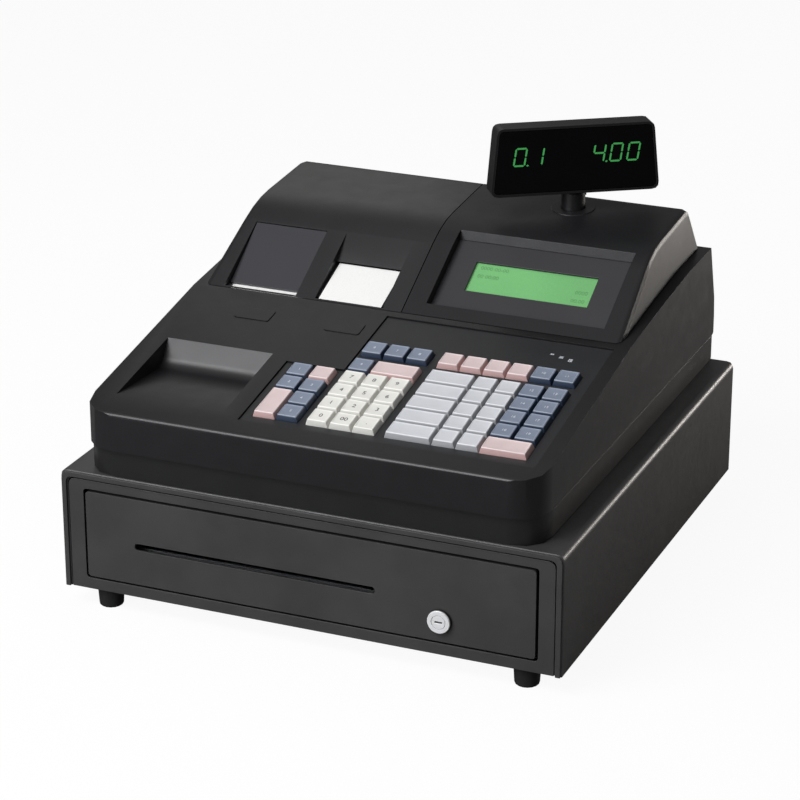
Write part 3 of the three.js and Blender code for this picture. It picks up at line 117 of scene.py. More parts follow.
class RegisterKeySizes(bpy.types.PropertyGroup):
    """The keys: caps that taper to a dished top."""

    pitch: size("Pitch", 0.0188, "From key to key, across")
    row_pitch: size("Row pitch", 0.0193, "From key to key, up the deck")
    width: size("Foot width", 0.0178, "Width of a cap's foot")
    depth: size("Foot depth", 0.0179, "Depth of a cap's foot")
    top_width: size("Top width", 0.0152, "Width of a cap's top")
    top_depth: size("Top depth", 0.0156, "Depth of a cap's top")
    foot: size("Foot level", -0.0012, "Level of the keyboard panel under the deck")
    skirt: size("Skirt", 0.004, "How far a cap's skirt reaches below the panel")
    top: size("Top level", 0.0032, "Level of a cap's top above the deck")
    front: size("First row", 0.0293, "From the nose to the first row, up the deck")
    row_gap: size("Row gap", 0.0071, "Extra gap in front of the last row")
    left_block: size("Left block", -0.0548, "Left edge of the left block")
    middle_block: size("Middle block", -0.0115, "Left edge of the middle block")
    right_block: size("Right block", 0.0519, "Left edge of the right block")
    rounding: size("Rounding", 0.0006, "Rounding of a cap's edges")
    dish: size("Dish", 0.00035, "Depth of the hollow in a cap's top")
    plate_rounding: size("Plate rounding", 0.0005, "Rounding of the plate under the fixed keys")
    legend: size("Legend", 0.0062, "Height of the digits on the caps")
    sign: size("Sign", 0.0032, "Width of a printed sign on the panel")
    sign_pitch: size("Sign pitch", 0.0082, "From sign to sign, across")
    sign_step: size("Sign step", 0.0030, "From sign to sign, down the deck")
    signs_left: size("Signs", 0.1310, "Middle of the first sign")
    signs_back: size("Signs' row", 0.1760, "From the nose to the first sign, up the deck")
    print: size("Print", 0.00006, "How far print stands off its surface")


class RegisterDisplaySizes(bpy.types.PropertyGroup):
    """Characters on the operator's and the customer's displays."""

    yaw: angle("Yaw", 33.6, "Turn of the customer display about its pole")
    tilt: angle("Tilt", -2.0, "Lean of the customer display")
    digit_height: size("Digit height", 0.0142, "Height of the customer display's digits")
    digit_width: size("Digit width", 0.0088, "Width of the customer display's digits")
    digit_slant: FloatProperty(name="Slant", default=0.16, description="Slant of the digits")
    digit_stroke: size("Stroke", 0.0014, "Width of a digit's segments")
    digit_level: size("Digit level", 0.0175, "Middle of the digits above the tilting hinge")
    face: size("Face", 0.01305, "From the tilting hinge to the window's face")
    offset: size("Offset", -0.0017, "Middle of the head, across from the pole")
    lcd_line: size("Line", 0.0052, "Height of a character on the operator's screen")
    lcd_margin: size("Margin", 0.00676, "From the screen's edge to its characters")
    lcd_spacing: size("Spacing", 0.008788, "From line to line")
    lcd_lift: size("Lift", 0.0000867, "How far the lines stand off the screen")
    lcd_ink: size("Ink", 0.000026, "Thickness of the lines")
    first_digits: size("First digits", -0.0515, "Left edge of the first number")
    second_digits: size("Second digits", 0.0137, "Left edge of the second number")
    digit_pitch: size("Digit pitch", 0.0142, "From digit to digit")


class RegisterFinishes(bpy.types.PropertyGroup):
    """Colours, as they look in plain light."""

    case: colour("Case", (0.0078, 0.0073, 0.0085), "Moulded case")
    cover: colour("Cover", (0.0095, 0.0095, 0.0108), "Raised part with the printer and the display")
    skirt: colour("Skirt", (0.009, 0.009, 0.009), "Moulded lower case")
    steel: colour("Steel", (0.0445, 0.0430, 0.0435), "Painted cabinet")
    panel: colour("Panel", (0.015, 0.0155, 0.017), "Keyboard panel")
    white_key: colour("White key", (0.80, 0.79, 0.74), "Number keys")
    grey_key: colour("Grey key", (0.66, 0.67, 0.70), "Department keys")
    pink_key: colour("Pink key", (0.72, 0.59, 0.585), "Pink function keys")
    blue_key: colour("Blue key", (0.235, 0.275, 0.355), "Blue function keys")
    lit_green: colour("Lit green", (0.15, 0.40, 0.15), "Back-lit screen")
    digit_green: colour("Digit green", (0.10, 0.66, 0.16), "Glowing digits")


class RegisterStage(bpy.types.PropertyGroup):
    """Camera, floor and light."""

    azimuth: angle("Azimuth", 22.826, "Camera's turn about the object")
    elevation: angle("Elevation", 21.998, "Camera's height above level, as an angle")
    lens: FloatProperty(name="Lens", default=131.871, min=1, description="Focal length in mm on 36 mm")
    camera: FloatVectorProperty(
        name="Camera", default=(0.8347, -2.010495, 1.0044), subtype="XYZ", unit="LENGTH",
        description="Camera's place",
    )
    world_light: FloatProperty(name="World", default=0.17, min=0, description="Strength of the sky")
    top_light: FloatProperty(name="Top light", default=5, min=0, description="Power of the top lamp")
    front_light: FloatProperty(name="Front light", default=56, min=0, description="Power of the front lamp")
    side_light: FloatProperty(name="Side light", default=11, min=0, description="Power of the right lamp")
    strip_light: FloatProperty(name="Strip light", default=24, min=0, description="Power of the strip lamp")
    low_light: FloatProperty(name="Low light", default=7, min=0, description="Power of the low front lamp")
    rear_light: FloatProperty(name="Rear light", default=0.28, min=0, description="Power of the rear lamp")
    floor_white: FloatProperty(
        name="Floor white", default=0.93, min=0, max=1, description="How far the floor fades into white"
    )
    floor_size: size("Floor", 12.0, "Width of the floor")
    lamp_aim: size("Lamp aim", 0.15, "Height of the point that the lamps face")


class RegisterSettings(bpy.types.PropertyGroup):
    """All that a user can change."""

    case: PointerProperty(type=RegisterCaseSizes)
    keys: PointerProperty(type=RegisterKeySizes)
    display: PointerProperty(type=RegisterDisplaySizes)
    finishes: PointerProperty(type=RegisterFinishes)
    stage: PointerProperty(type=RegisterStage)


def settings():
    return bpy.context.scene.cash_register


class Wire:
    """A node's output, which adds Math nodes when it is used in a sum."""

    def __init__(self, nodes, node, output=0):
        self.nodes = nodes
        self.node = node
        self.output = output

    def math(self, operation, *values):
        return self.nodes.node("ShaderNodeMath", {"operation": operation}, values)

    def __add__(self, other):
        return self.math("ADD", self, other)

    def __sub__(self, other):
        return self.math("SUBTRACT", self, other)

    def __mul__(self, other):
        return self.math("MULTIPLY", self, other)

    def __rsub__(self, other):
        return self.math("SUBTRACT", other, self)

    def clamped(self):
        self.node.use_clamp = True
        return self

    __radd__ = __add__
    __rmul__ = __mul__


class Nodes:
    """Builds the node tree of a material or a world."""

    def __init__(self, owner):
        owner.use_nodes = True
        self.tree = owner.node_tree
        self.tree.nodes.clear()

    def plug(self, socket, value):
        """Links a wire to a socket, or gives the socket a value."""
        if isinstance(value, Wire):
            self.tree.links.new(value.node.outputs[value.output], socket)
        elif socket.type == "RGBA" and len(value) == 3:
            socket.default_value = (*value, 1)
        else:
            socket.default_value = value

    def node(self, kind, options=None, inputs=(), output=0):
        """Adds a node: its options first, then its sockets by number or by name."""
        node = self.tree.nodes.new(kind)
        for name, value in (options or {}).items():
            if name == "stops":
                for element, (place, tone) in zip(node.color_ramp.elements, value):
                    element.position = place
                    element.color = (*tone, 1)
            else:
                setattr(node, name, value)
        pairs = inputs.items() if isinstance(inputs, dict) else enumerate(inputs)
        for key, value in pairs:
            self.plug(node.inputs[key], value)
        return Wire(self, node, output)


class Paint(Nodes):
    """A node material with a Principled shader."""

    def __init__(self, name, **fixed):
        self.material = bpy.data.materials.new(name)
        super().__init__(self.material)
        self.shader = self.node("ShaderNodeBsdfPrincipled")
        self.output = self.node("ShaderNodeOutputMaterial", None, {"Surface": self.shader})
        self.set(**fixed)

    def set(self, **values):
        """Sets or links the shader's sockets: base_color is Base Color, and so on."""
        for name, value in values.items():
            socket = name.replace("_", " ").title().replace("Ior", "IOR")
            self.plug(self.shader.node.inputs[socket], value)

    def place(self):
        """Where a point is on the object."""
        return self.node("ShaderNodeTexCoord", output="Object")

    def height_over(self, place):
        """How far a point is above the XY plane of a frame."""
        normal = place.to_3x3() @ Vector((0, 0, 1))
        values = {0: self.place(), 1: normal}
        along = self.node("ShaderNodeVectorMath", {"operation": "DOT_PRODUCT"}, values, "Value")
        return along - normal.dot(place.translation)

    def behind(self, node, start, end):
        """Rises from 0 to 1 between two depths behind a node's front."""
        along = self.node("ShaderNodeSeparateXYZ", None, {0: self.place()}, "Y")
        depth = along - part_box(node)[0].y
        return ((depth - start) * (1 / (end - start))).clamped()

    def noise(self, scale, detail=2.0, roughness=0.5):
        values = {"Vector": self.place(), "Scale": scale, "Detail": detail, "Roughness": roughness}
        return self.node("ShaderNodeTexNoise", None, values, "Fac")

    def cells(self, scale):
        return self.node("ShaderNodeTexVoronoi", None, {"Vector": self.place(), "Scale": scale}, "Distance")

    def ramp(self, value, low, high, dark, light):
        stops = [(low, dark), (high, light)]
        return self.node("ShaderNodeValToRGB", {"stops": stops}, {"Fac": value}, "Color")

    def mottled(self, noise, tone, dark, light):
        """A tone that wanders between two shares of itself."""
        return self.ramp(noise, *MOTTLE, shade(tone, dark), shade(tone, light))

    def mix(self, amount, one, two):
        values = {0: amount, 6: one, 7: two}
        return self.node("ShaderNodeMix", {"data_type": "RGBA"}, values, 2)

    def bump(self, height, distance, strength):
        values = {"Height": height, "Distance": distance, "Strength": strength}
        self.set(normal=self.node("ShaderNodeBump", None, values))


def shade(tone, factor):
    return tuple(min(1.0, part * factor) for part in tone[:3])


def moulded(name, tone, roughness=0.36, gloss=0.5, grain=0.00006, fleck=1500.0):
    """Spark-eroded plastic: a fine grain, faint mottling and a soft, uneven sheen."""
    paint = Paint(name, specular_ior_level=gloss)
    paint.set(base_color=paint.mottled(paint.noise(18.0, 3.0), tone, 0.90, 1.10))
    paint.set(roughness=paint.noise(70.0) * 0.12 + (roughness - 0.06))
    paint.bump(paint.cells(fleck) + paint.noise(fleck * 0.6) * 0.5, grain, 0.35)
    return paint.material


def painted_steel(name, tone, front=None):
    """Baked paint on steel: an orange-peel ripple and a fine grain; given a front, the gaps behind it get a
    painted shade, near black and dull.
    """
    paint = Paint(name, coat_weight=0.12, coat_roughness=0.3)
    tones = paint.mottled(paint.noise(26.0, 2.0), tone, 0.88, 1.12)
    rough = paint.noise(140.0, 4.0) * 0.18 + 0.32
    if front:
        # Painted shade: deeper than the front's face, the paint turns near black, loses its coat and grows rough.
        painted_shade = paint.behind(front, 0.0007, 0.0014)
        tones = paint.mix(painted_shade, tones, (0.001, 0.001, 0.001))
        paint.set(coat_weight=(1 - painted_shade) * 0.12)
        rough = rough + painted_shade * 0.5
    paint.set(base_color=tones, roughness=rough)
    paint.bump(paint.cells(900.0) + paint.noise(420.0) * 0.8, 0.00005, 0.4)
    return paint.material


def bare_steel(name, tone=(0.30, 0.31, 0.32)):
    """Zinc-plated sheet: dull, with fine clouds of slightly different grey."""
    paint = Paint(name, metallic=0.8)
    cloud = paint.noise(60.0, 4.0)
    paint.set(base_color=paint.mottled(cloud, tone, 0.94, 1.05))
    paint.set(roughness=cloud * 0.12 + 0.42)
    paint.bump(paint.noise(300.0), 0.00003, 0.3)
    return paint.material


def polished(name, front, tone=(0.86, 0.86, 0.87)):
    """Nickel plate, a little hazy, painted as a mostly diffuse near-white that stands in for its bright
    reflection, with a painted shade, near black, inside the keyway.
    """
    # Mostly diffuse white rather than metal: a painted reflection of bright surroundings.
    paint = Paint(name, metallic=0.1)
    # Painted shade: deeper than the barrel's front, the plate turns near black and rough.
    painted_shade = paint.behind(front, 0.0009, 0.0015)
    bright = paint.mottled(paint.noise(90.0), tone, 0.96, 1.0)
    paint.set(base_color=paint.mix(painted_shade, bright, (0.01, 0.01, 0.01)))
    paint.set(roughness=paint.noise(600.0, 4.0) * 0.1 + 0.2 + painted_shade * 0.4)
    return paint.material


def rubbery(name, tone=(0.012, 0.012, 0.012)):
    """Dull rubber with a coarse grain."""
    paint = Paint(name, specular_ior_level=0.3)
    paint.set(base_color=paint.mottled(paint.noise(120.0), tone, 0.67, 1.33))
    paint.set(roughness=paint.noise(400.0) * 0.1 + 0.7)
    paint.bump(paint.noise(1400.0), 0.00005, 0.5)
    return paint.material


def key_plastic(name, tone, foot=None):
    """Key plastic: smooth and slightly waxy; a given foot tone is a painted shade, darker on the cap's sides than
    on its top.
    """
    paint = Paint(name, coat_weight=0.15, coat_roughness=0.35)
    top = paint.mottled(paint.noise(60.0, 2.0), tone, 0.95, 1.03)
    # Painted shade: the foot tone darkens the cap's sides, up to its top.
    if foot:
        keys = settings().keys
        rise = paint.height_over(deck_place()) - keys.foot
        share = rise * (1 / (keys.top - keys.foot))
        top = paint.mix(paint.ramp(share, *KEY_SHADE_BLEND, (0, 0, 0), WHITE), foot, top)
    paint.set(base_color=top)
    paint.set(roughness=paint.noise(500.0) * 0.1 + 0.36)
    paint.bump(paint.noise(2200.0), 0.00003, 0.25)
    return paint.material


def glossy_black(name, tone=(0.002, 0.002, 0.0025), roughness=0.15):
    """A smooth black window."""
    paint = Paint(name, specular_ior_level=0.12)
    paint.set(base_color=paint.mottled(paint.noise(40.0), tone, 0.9, 1.1))
    paint.set(roughness=paint.noise(200.0) * 0.04 + roughness)
    return paint.material


def paper_stock(name, dark=(0.80, 0.79, 0.77), light=(0.88, 0.88, 0.86)):
    """Roll paper: fine fibres."""
    paint = Paint(name, specular_ior_level=0.25)
    fibre = paint.noise(900.0, 5.0, 0.7)
    paint.set(base_color=paint.ramp(fibre, *MOTTLE, dark, light))
    paint.set(roughness=fibre * 0.1 + 0.75)
    paint.bump(fibre, 0.00004, 0.5)
    return paint.material


def glowing(name, tone, strength):
    """Lit characters."""
    paint = Paint(name, base_color=shade(tone, 0.3), roughness=0.5, emission_strength=strength)
    paint.set(emission_color=paint.ramp(paint.noise(300.0), 0.2, 0.8, shade(tone, 0.9), tone))
    return paint.material


def backlit_screen(name, tone):
    """A back-lit screen: a dot grid under a smooth film, brighter towards its middle."""
    paint = Paint(name, roughness=0.3, emission_strength=0.18, specular_ior_level=0.2)
    glow = paint.noise(14.0, 1.0) * 0.7 + paint.cells(1100.0) * 0.3
    tones = paint.ramp(glow, 0.25, 0.75, shade(tone, 0.82), shade(tone, 1.08))
    paint.set(base_color=tones, emission_color=tones)
    return paint.material


def tinted_window(name, tone=(0.036, 0.036, 0.042)):
    """A smoked window: dark, glossy and partly see-through."""
    paint = Paint(name, base_color=tone)
    paint.set(roughness=paint.noise(80.0) * 0.05 + 0.28, alpha=paint.noise(30.0) * 0.04 + 0.9)
    return paint.material


def circuit(name, dark=(0.02, 0.10, 0.04), light=(0.04, 0.20, 0.08)):
    """A green board with paler tracks."""
    paint = Paint(name)
    tracks = paint.cells(260.0)
    paint.set(base_color=paint.ramp(tracks, 0.2, 0.5, dark, light))
    paint.set(roughness=tracks * 0.2 + 0.35)
    return paint.material


def finish_named(kind):
    """The finish of that kind, made when it is first asked for."""
    name = kind + "_finish"
    if name in bpy.data.materials:
        return bpy.data.materials[name]
    tones = settings().finishes
    makers = {
        "case_plastic": lambda: moulded(name, tones.case),
        "skirt_plastic": lambda: moulded(name, tones.skirt),
        "cover_plastic": lambda: moulded(name, tones.cover, 0.34),
        "housing_plastic": lambda: moulded(name, tones.cover, 0.44, 0.34),
        "panel_plastic": lambda: moulded(name, tones.panel, 0.45),
        "black_plastic": lambda: moulded(name, (0.008, 0.008, 0.009), 0.4),
        "display_plastic": lambda: moulded(name, (0.0035, 0.0031, 0.0032), 0.5),
        "till_plastic": lambda: moulded(name, (0.02, 0.02, 0.021), 0.55),
        "cabinet_paint": lambda: painted_steel(name, tones.steel),
        # The drawer front and its frame carry a painted shade, near black, in the gaps behind the drawer front.
        "front_paint": lambda: painted_steel(name, tones.steel, "drawer_front"),
        "bare_steel": lambda: bare_steel(name),
        "chrome": lambda: polished(name, "lock_barrel"),
        "rubber": lambda: rubbery(name),
        # The second tone of each key is its painted shade, for the cap's sides.
        "white_keys": lambda: key_plastic(name, tones.white_key, shade(tones.white_key, 0.78)),
        "grey_keys": lambda: key_plastic(name, tones.grey_key, shade(tones.grey_key, 0.5)),
        "pink_keys": lambda: key_plastic(name, tones.pink_key, (0.50, 0.33, 0.32)),
        "blue_keys": lambda: key_plastic(name, tones.blue_key, (0.016, 0.030, 0.060)),
        "dark_ink": lambda: key_plastic(name, (0.10, 0.10, 0.11)),
        "pale_ink": lambda: key_plastic(name, (0.62, 0.65, 0.70)),
        "gloss_black": lambda: glossy_black(name),
        "lcd_frame": lambda: moulded(name, (0.026, 0.026, 0.030), 0.4),
        "paper": lambda: paper_stock(name),
        "digits": lambda: glowing(name, tones.digit_green, 0.28),
        "screen": lambda: backlit_screen(name, tones.lit_green),
        "screen_ink": lambda: moulded(name, (0.10, 0.29, 0.10), 0.5),
        "window": lambda: tinted_window(name),
        "circuit": lambda: circuit(name),
        "coil_iron": lambda: bare_steel(name, (0.16, 0.155, 0.15)),
    }
    return makers[kind]()


def nose_foot():
    """The point under the nose's middle, on the level of the cabinet's lower edge."""
    return Vector((0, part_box("upper_case")[0].y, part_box("cabinet_cover")[0].z))


def deck_place():
    """The frame of the keyboard deck: X across, Y up the deck and Z out of it."""
    case = settings().case
    foot = nose_foot() + Vector((0, 0, case.deck_level))
    return Matrix.Translation(foot) @ Matrix.Rotation(case.deck_angle, 4, "X")


def slope_place():
    """The frame of the raised part's slope."""
    case = settings().case
    foot = nose_foot() + Vector((0, case.hump_front, case.hump_level))
    return Matrix.Translation(foot) @ Matrix.Rotation(case.hump_angle, 4, "X")


def display_place():
    """The frame of the customer display's tilting hinge: its face looks along -Y."""
    display = settings().display
    hinge = next(joint for joint in frame["joints"] if joint["name"] == "display_tilt")
    turn = Matrix.Rotation(display.yaw, 4, "Z") @ Matrix.Rotation(display.tilt, 4, "X")
    return Matrix.Translation(hinge["pos_m"]) @ turn


def linked(name, data):
    """A new object in the scene."""
    item = bpy.data.objects.new(name, data)
    bpy.context.scene.collection.objects.link(item)
    return item


def keep(name, mesh, finish, body, *stands_for, slot=None):
    """Makes a finished mesh into a piece that rides on a body and may stand for nodes."""
    piece = linked(name, mesh)
    mesh.materials.clear()
    mesh.materials.append(finish_named(finish))
    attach(piece, body)
    if stands_for:
        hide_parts(*stands_for)
    return piece


def lettering(name, words, height, place, thickness, align="CENTER"):
    """Characters as a mesh that stands on a place's XY plane."""
    text = bpy.data.curves.new(name, "FONT")
    text.body = words
    text.size = height
    text.align_x = align
    text.align_y = "CENTER"
    text.extrude = thickness
    carrier = linked(name, text)
    bpy.context.view_layer.update()
    mesh = bpy.data.meshes.new_from_object(carrier.evaluated_get(bpy.context.evaluated_depsgraph_get()))
    bpy.data.objects.remove(carrier)
    mesh.transform(place)
    mesh.name = name
    return mesh


def plain_mesh(bm, name):
    """Turns a bmesh into a mesh."""
    mesh = bpy.data.meshes.new(name)
    bm.to_mesh(mesh)
    bm.free()
    return mesh


def mesh_of(bm, name, place):
    """Turns a bmesh into a mesh with smooth faces and sharp creases, set in its place."""
    bmesh.ops.transform(bm, matrix=place, verts=bm.verts)
    bmesh.ops.recalc_face_normals(bm, faces=bm.faces)
    crease(bm)
    return plain_mesh(bm, name)


def rounded(bm, edges, offset, segments):
    """Rounds the edges of a bmesh."""
    bmesh.ops.bevel(
        bm, geom=edges, offset=offset, offset_type="OFFSET", segments=segments, profile=0.5,
        affect="EDGES", clamp_overlap=True, material=-1,
    )


def crease(bm, limit=math.radians(38)):
    """Shades faces smooth, but not over edges that turn by more than the limit."""
    for face in bm.faces:
        face.smooth = True
    for edge in bm.edges:
        edge.smooth = len(edge.link_faces) == 2 and edge.calc_face_angle(0) < limit


def softened(node, edge, finish, segments=2):
    """Replaces a node by a copy of it whose sharp edges are rounded."""
    bm = bmesh.new()
    bm.from_mesh(NODES[node].data)
    bmesh.ops.remove_doubles(bm, verts=bm.verts, dist=TOUCHING)
    bmesh.ops.dissolve_limit(bm, angle_limit=FLAT, verts=bm.verts, edges=bm.edges)
    sharp = [e for e in bm.edges if len(e.link_faces) == 2 and e.calc_face_angle(0) > SHARP]
    rounded(bm, sharp, edge, segments)
    crease(bm)
    name = node + "_soft"
    piece = keep(name, plain_mesh(bm, name), finish, BODY_OF[node], node)
    weighted = piece.modifiers.new("Even shading", "WEIGHTED_NORMAL")
    weighted.keep_sharp = True


def dress(finish, *nodes):
    """Gives nodes that stay as they are a finish."""
    for node in nodes:
        NODES[node].data.materials.clear()
        NODES[node].data.materials.append(finish_named(finish))


class Dresser(bpy.types.Operator):
    """Base of the operators, which make pieces and finish."""

    bl_options = {"REGISTER", "UNDO"}

    def execute(self, context):
        self.make(settings())
        return {"FINISHED"}


class REGISTER_OT_cabinet(Dresser):
    """Dress the steel cabinet, its drawer front, lock and feet"""

    bl_idname = "cash_register.cabinet"
    bl_label = "Cabinet"

    def make(self, values):
        edge = values.case.steel_edge
        softened("cabinet_cover", edge, "cabinet_paint")
        softened("front_frame", edge, "front_paint")
        softened("drawer_front", edge, "front_paint")
        softened("lock_barrel", values.case.fine_edge, "chrome", 3)
        softened("lock_plug", values.case.fine_edge, "chrome")
        for side in ("front_left", "front_right", "rear_left", "rear_right"):
            softened("foot_" + side, values.case.case_edge, "rubber", 3)


class REGISTER_OT_drawer(Dresser):
    """Dress the drawer, the till and the steel inside the cabinet"""

    bl_idname = "cash_register.drawer"
    bl_label = "Drawer"

    def make(self, values):
        dress("bare_steel", "cabinet_base", "drawer_rail_left", "drawer_rail_right")
        dress("bare_steel", "drawer_box", "latch_lever")
        dress("coil_iron", "latch_solenoid", "transformer")
        softened("till_tray", values.case.fine_edge, "till_plastic")
        for number in range(1, 5):
            softened(f"bill_clip_{number}", values.case.fine_edge, "till_plastic")


class REGISTER_OT_case(Dresser):
    """Dress the register's case, its keyboard panel and its two buttons"""

    bl_idname = "cash_register.case"
    bl_label = "Case"

    def make(self, values):
        softened("upper_case", values.case.case_edge, "case_plastic", 3)
        softened("lower_case", values.case.case_edge, "skirt_plastic")
        softened("keyboard_panel", values.case.steel_edge, "panel_plastic")
        for paper in ("journal", "receipt"):
            softened("release_button_" + paper, values.case.fine_edge, "case_plastic")
        softened("power_inlet", values.case.fine_edge, "black_plastic")
        dress("circuit", "main_board")


class REGISTER_OT_keys(Dresser):
    """Make the key caps and their legends"""

    bl_idname = "cash_register.keys"
    bl_label = "Keys"

    # Steps into a cap's hollow: widths as shares of the rounding, depths as shares of the dish.
    DISH_STEPS = ((1.4, 1), (1.6, 1 / 3))
    # Shares of the dish: how far down a legend starts, and how thick it is.
    LEGEND_SINK = 1.2
    LEGEND_THICKNESS = 0.25
    # The height of the marks on the blue keys as a share of the legends', and a sign's bars.
    MARK_SHARE = 0.62
    SIGN_BAR = 0.2
    SIGN_SPACING = 1.6

    def make(self, values):
        self.keys = values.keys
        self.place = deck_place()
        self.moving_caps()
        self.fixed_caps()
        self.switch_plate()
        self.signs()

    def cell(self, block, column, row, columns=1, rows=1):
        """Spans of a cell, counted from a block's left and from the back row."""
        keys = self.keys
        left = getattr(keys, block + "_block") + column * keys.pitch
        front = keys.front + (7 - row - rows) * keys.row_pitch + (keys.row_gap if row == 1 else 0)
        return (left, left + columns * keys.pitch), (front, front + rows * keys.row_pitch)

    def cap(self, across, along, low):
        """One cap as a bmesh in the deck's frame."""
        keys = self.keys
        bm = bmesh.new()
        bmesh.ops.create_cube(bm, size=1)
        bmesh.ops.bisect_plane(
            bm, geom=bm.verts[:] + bm.edges[:] + bm.faces[:], plane_co=(0, 0, 0), plane_no=(0, 0, 1)
        )
        middle = Vector((sum(across) / 2, sum(along) / 2, 0))
        spread = Vector((across[1] - across[0] - keys.pitch, along[1] - along[0] - keys.row_pitch, 0))
        levels = {-1: low, 0: keys.foot, 1: keys.top}
        for vert in bm.verts:
            layer = round(vert.co.z * 2)
            foot = Vector((keys.width, keys.depth, 0))
            top = Vector((keys.top_width, keys.top_depth, 0))
            full = (top if layer == 1 else foot) + spread
            vert.co = middle + Vector((full.x * vert.co.x, full.y * vert.co.y, levels[layer]))
        upper = [e for e in bm.edges if max(v.co.z for v in e.verts) > keys.foot + TOUCHING]
        rounded(bm, upper, keys.rounding, 4)
        roof = max((f for f in bm.faces if f.normal.z > 0.99), key=lambda f: f.calc_area())
        for width, depth in self.DISH_STEPS:
            rim, drop = keys.rounding * width, -keys.dish * depth
            bmesh.ops.inset_region(bm, faces=[roof], thickness=rim, depth=drop)
        return bm

    def caps(self, name, finish, body, cells, low, nodes=(), slot=None):
        """Several caps as one piece."""
        whole = bmesh.new()
        for across, along in cells:
            one = self.cap(across, along, low)
            part = bpy.data.meshes.new("cap")
            one.to_mesh(part)
            one.free()
            whole.from_mesh(part)
            bpy.data.meshes.remove(part)
        keep(name, mesh_of(whole, name, self.place), finish, body, *nodes, slot=slot)

    def legend(self, name, words, across, along, ink, body, height):
        """Characters that stand a hair above a cap's top."""
        keys = self.keys
        middle = Vector((sum(across) / 2, sum(along) / 2, keys.top - keys.dish * self.LEGEND_SINK))
        place = self.place @ Matrix.Translation(middle)
        mesh = lettering(name, words, height, place, keys.dish * self.LEGEND_THICKNESS)
        keep(name, mesh, ink, body, slot="till_black" if ink == "dark_ink" else "key_white")

    def moving_caps(self):
        low = self.keys.foot - self.keys.skirt
        digits = [["7", "8", "9"], ["4", "5", "6"], ["1", "2", "3"], ["0", "00", "decimal"]]
        for i, names in enumerate(digits):
            for j, name in enumerate(names):
                node = "key_" + name
                across, along = self.cell("middle", j, i + 3)
                self.caps(f"cap_{name}", "white_keys", BODY_OF[node], [(across, along)], low, [node])
                words = "." if name == "decimal" else name
                self.legend(
                    f"legend_{name}", words, across, along, "dark_ink", BODY_OF[node], self.keys.legend
                )
        wide = {
            "clear": self.cell("middle", 1, 2, 2),
            "feed": self.cell("left", 0, 5, 1, 2),
            "total": self.cell("right", 4, 6, 2),
        }
        for name, span in wide.items():
            node = "key_" + name
            self.caps("cap_" + name, "pink_keys", BODY_OF[node], [span], low, [node])

    def fixed_caps(self):
        low = self.keys.foot - 2 * self.keys.skirt
        blue = [("left", 0, 3), ("left", 0, 4), ("left", 1, 4), ("left", 1, 5), ("left", 1, 6)]
        blue += [("middle", column, 1) for column in range(3)] + [("middle", 0, 2)]
        blue += [("right", column, row) for row in range(1, 6) for column in (4, 5)]
        pink = [("left", 1, 3)] + [("right", column, 1) for column in range(4)]
        grey = [("right", column, row) for row in range(2, 7) for column in (2, 3)]
        wide = [("right", 0, row, 2) for row in range(2, 7)]
        groups = [
            ("blue", "blue_keys", "key_blue", blue),
            ("pink", "pink_keys", "key_pink", pink),
            ("grey", "grey_keys", "key_white", grey),
            ("wide", "grey_keys", "key_white", wide),
        ]
        for name, finish, slot, cells in groups:
            spans = [self.cell(*one) for one in cells]
            self.caps(f"caps_{name}", finish, BODY_OF["switch_frame"], spans, low, ["switch_frame"], slot)
        for number, one in enumerate(blue):
            across, along = self.cell(*one)
            self.legend(
                f"mark_{number + 1}", str(number + 1), across, along, "pale_ink",
                BODY_OF["switch_frame"], self.keys.legend * self.MARK_SHARE,
            )

    def signs(self):
        """Three printed signs behind the right block: short bars of growing number."""
        keys = self.keys
        bar = keys.sign * self.SIGN_BAR
        for number in range(3):
            bm = bmesh.new()
            for level in range(number + 2):
                spot = Matrix.Translation((0, level * bar * self.SIGN_SPACING, 0))
                shape = spot @ Matrix.Diagonal((keys.sign, bar, 1, 1))
                bmesh.ops.create_grid(bm, x_segments=1, y_segments=1, size=0.5, matrix=shape)
            across = keys.signs_left + number * keys.sign_pitch
            at = (across, keys.signs_back - number * keys.sign_step, keys.foot + keys.print)
            name = f"panel_sign_{number + 1}"
            mesh = mesh_of(bm, name, self.place @ Matrix.Translation(at))
            keep(name, mesh, "pale_ink", BODY_OF["keyboard_panel"], slot="key_white")

    def switch_plate(self):
        """The plate that the fixed keys stand on."""
        low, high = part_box("switch_frame")
        keys = self.keys
        across = (low.x, high.x)
        bm = bmesh.new()
        bmesh.ops.create_cube(bm, size=1)
        depth = 6 * keys.row_pitch + keys.row_gap
        top = keys.foot - 2 * keys.skirt
        bmesh.ops.scale(bm, vec=(across[1] - across[0], depth, keys.skirt), verts=bm.verts)
        middle = (sum(across) / 2, keys.front + depth / 2, top - keys.skirt / 2)
        bmesh.ops.translate(bm, vec=middle, verts=bm.verts)
        rounded(bm, bm.edges[:], keys.plate_rounding, 2)
        name, node = "switch_plate", "switch_frame"
        mesh = mesh_of(bm, name, self.place)
        keep(name, mesh, "black_plastic", BODY_OF[node], node, slot="till_black")


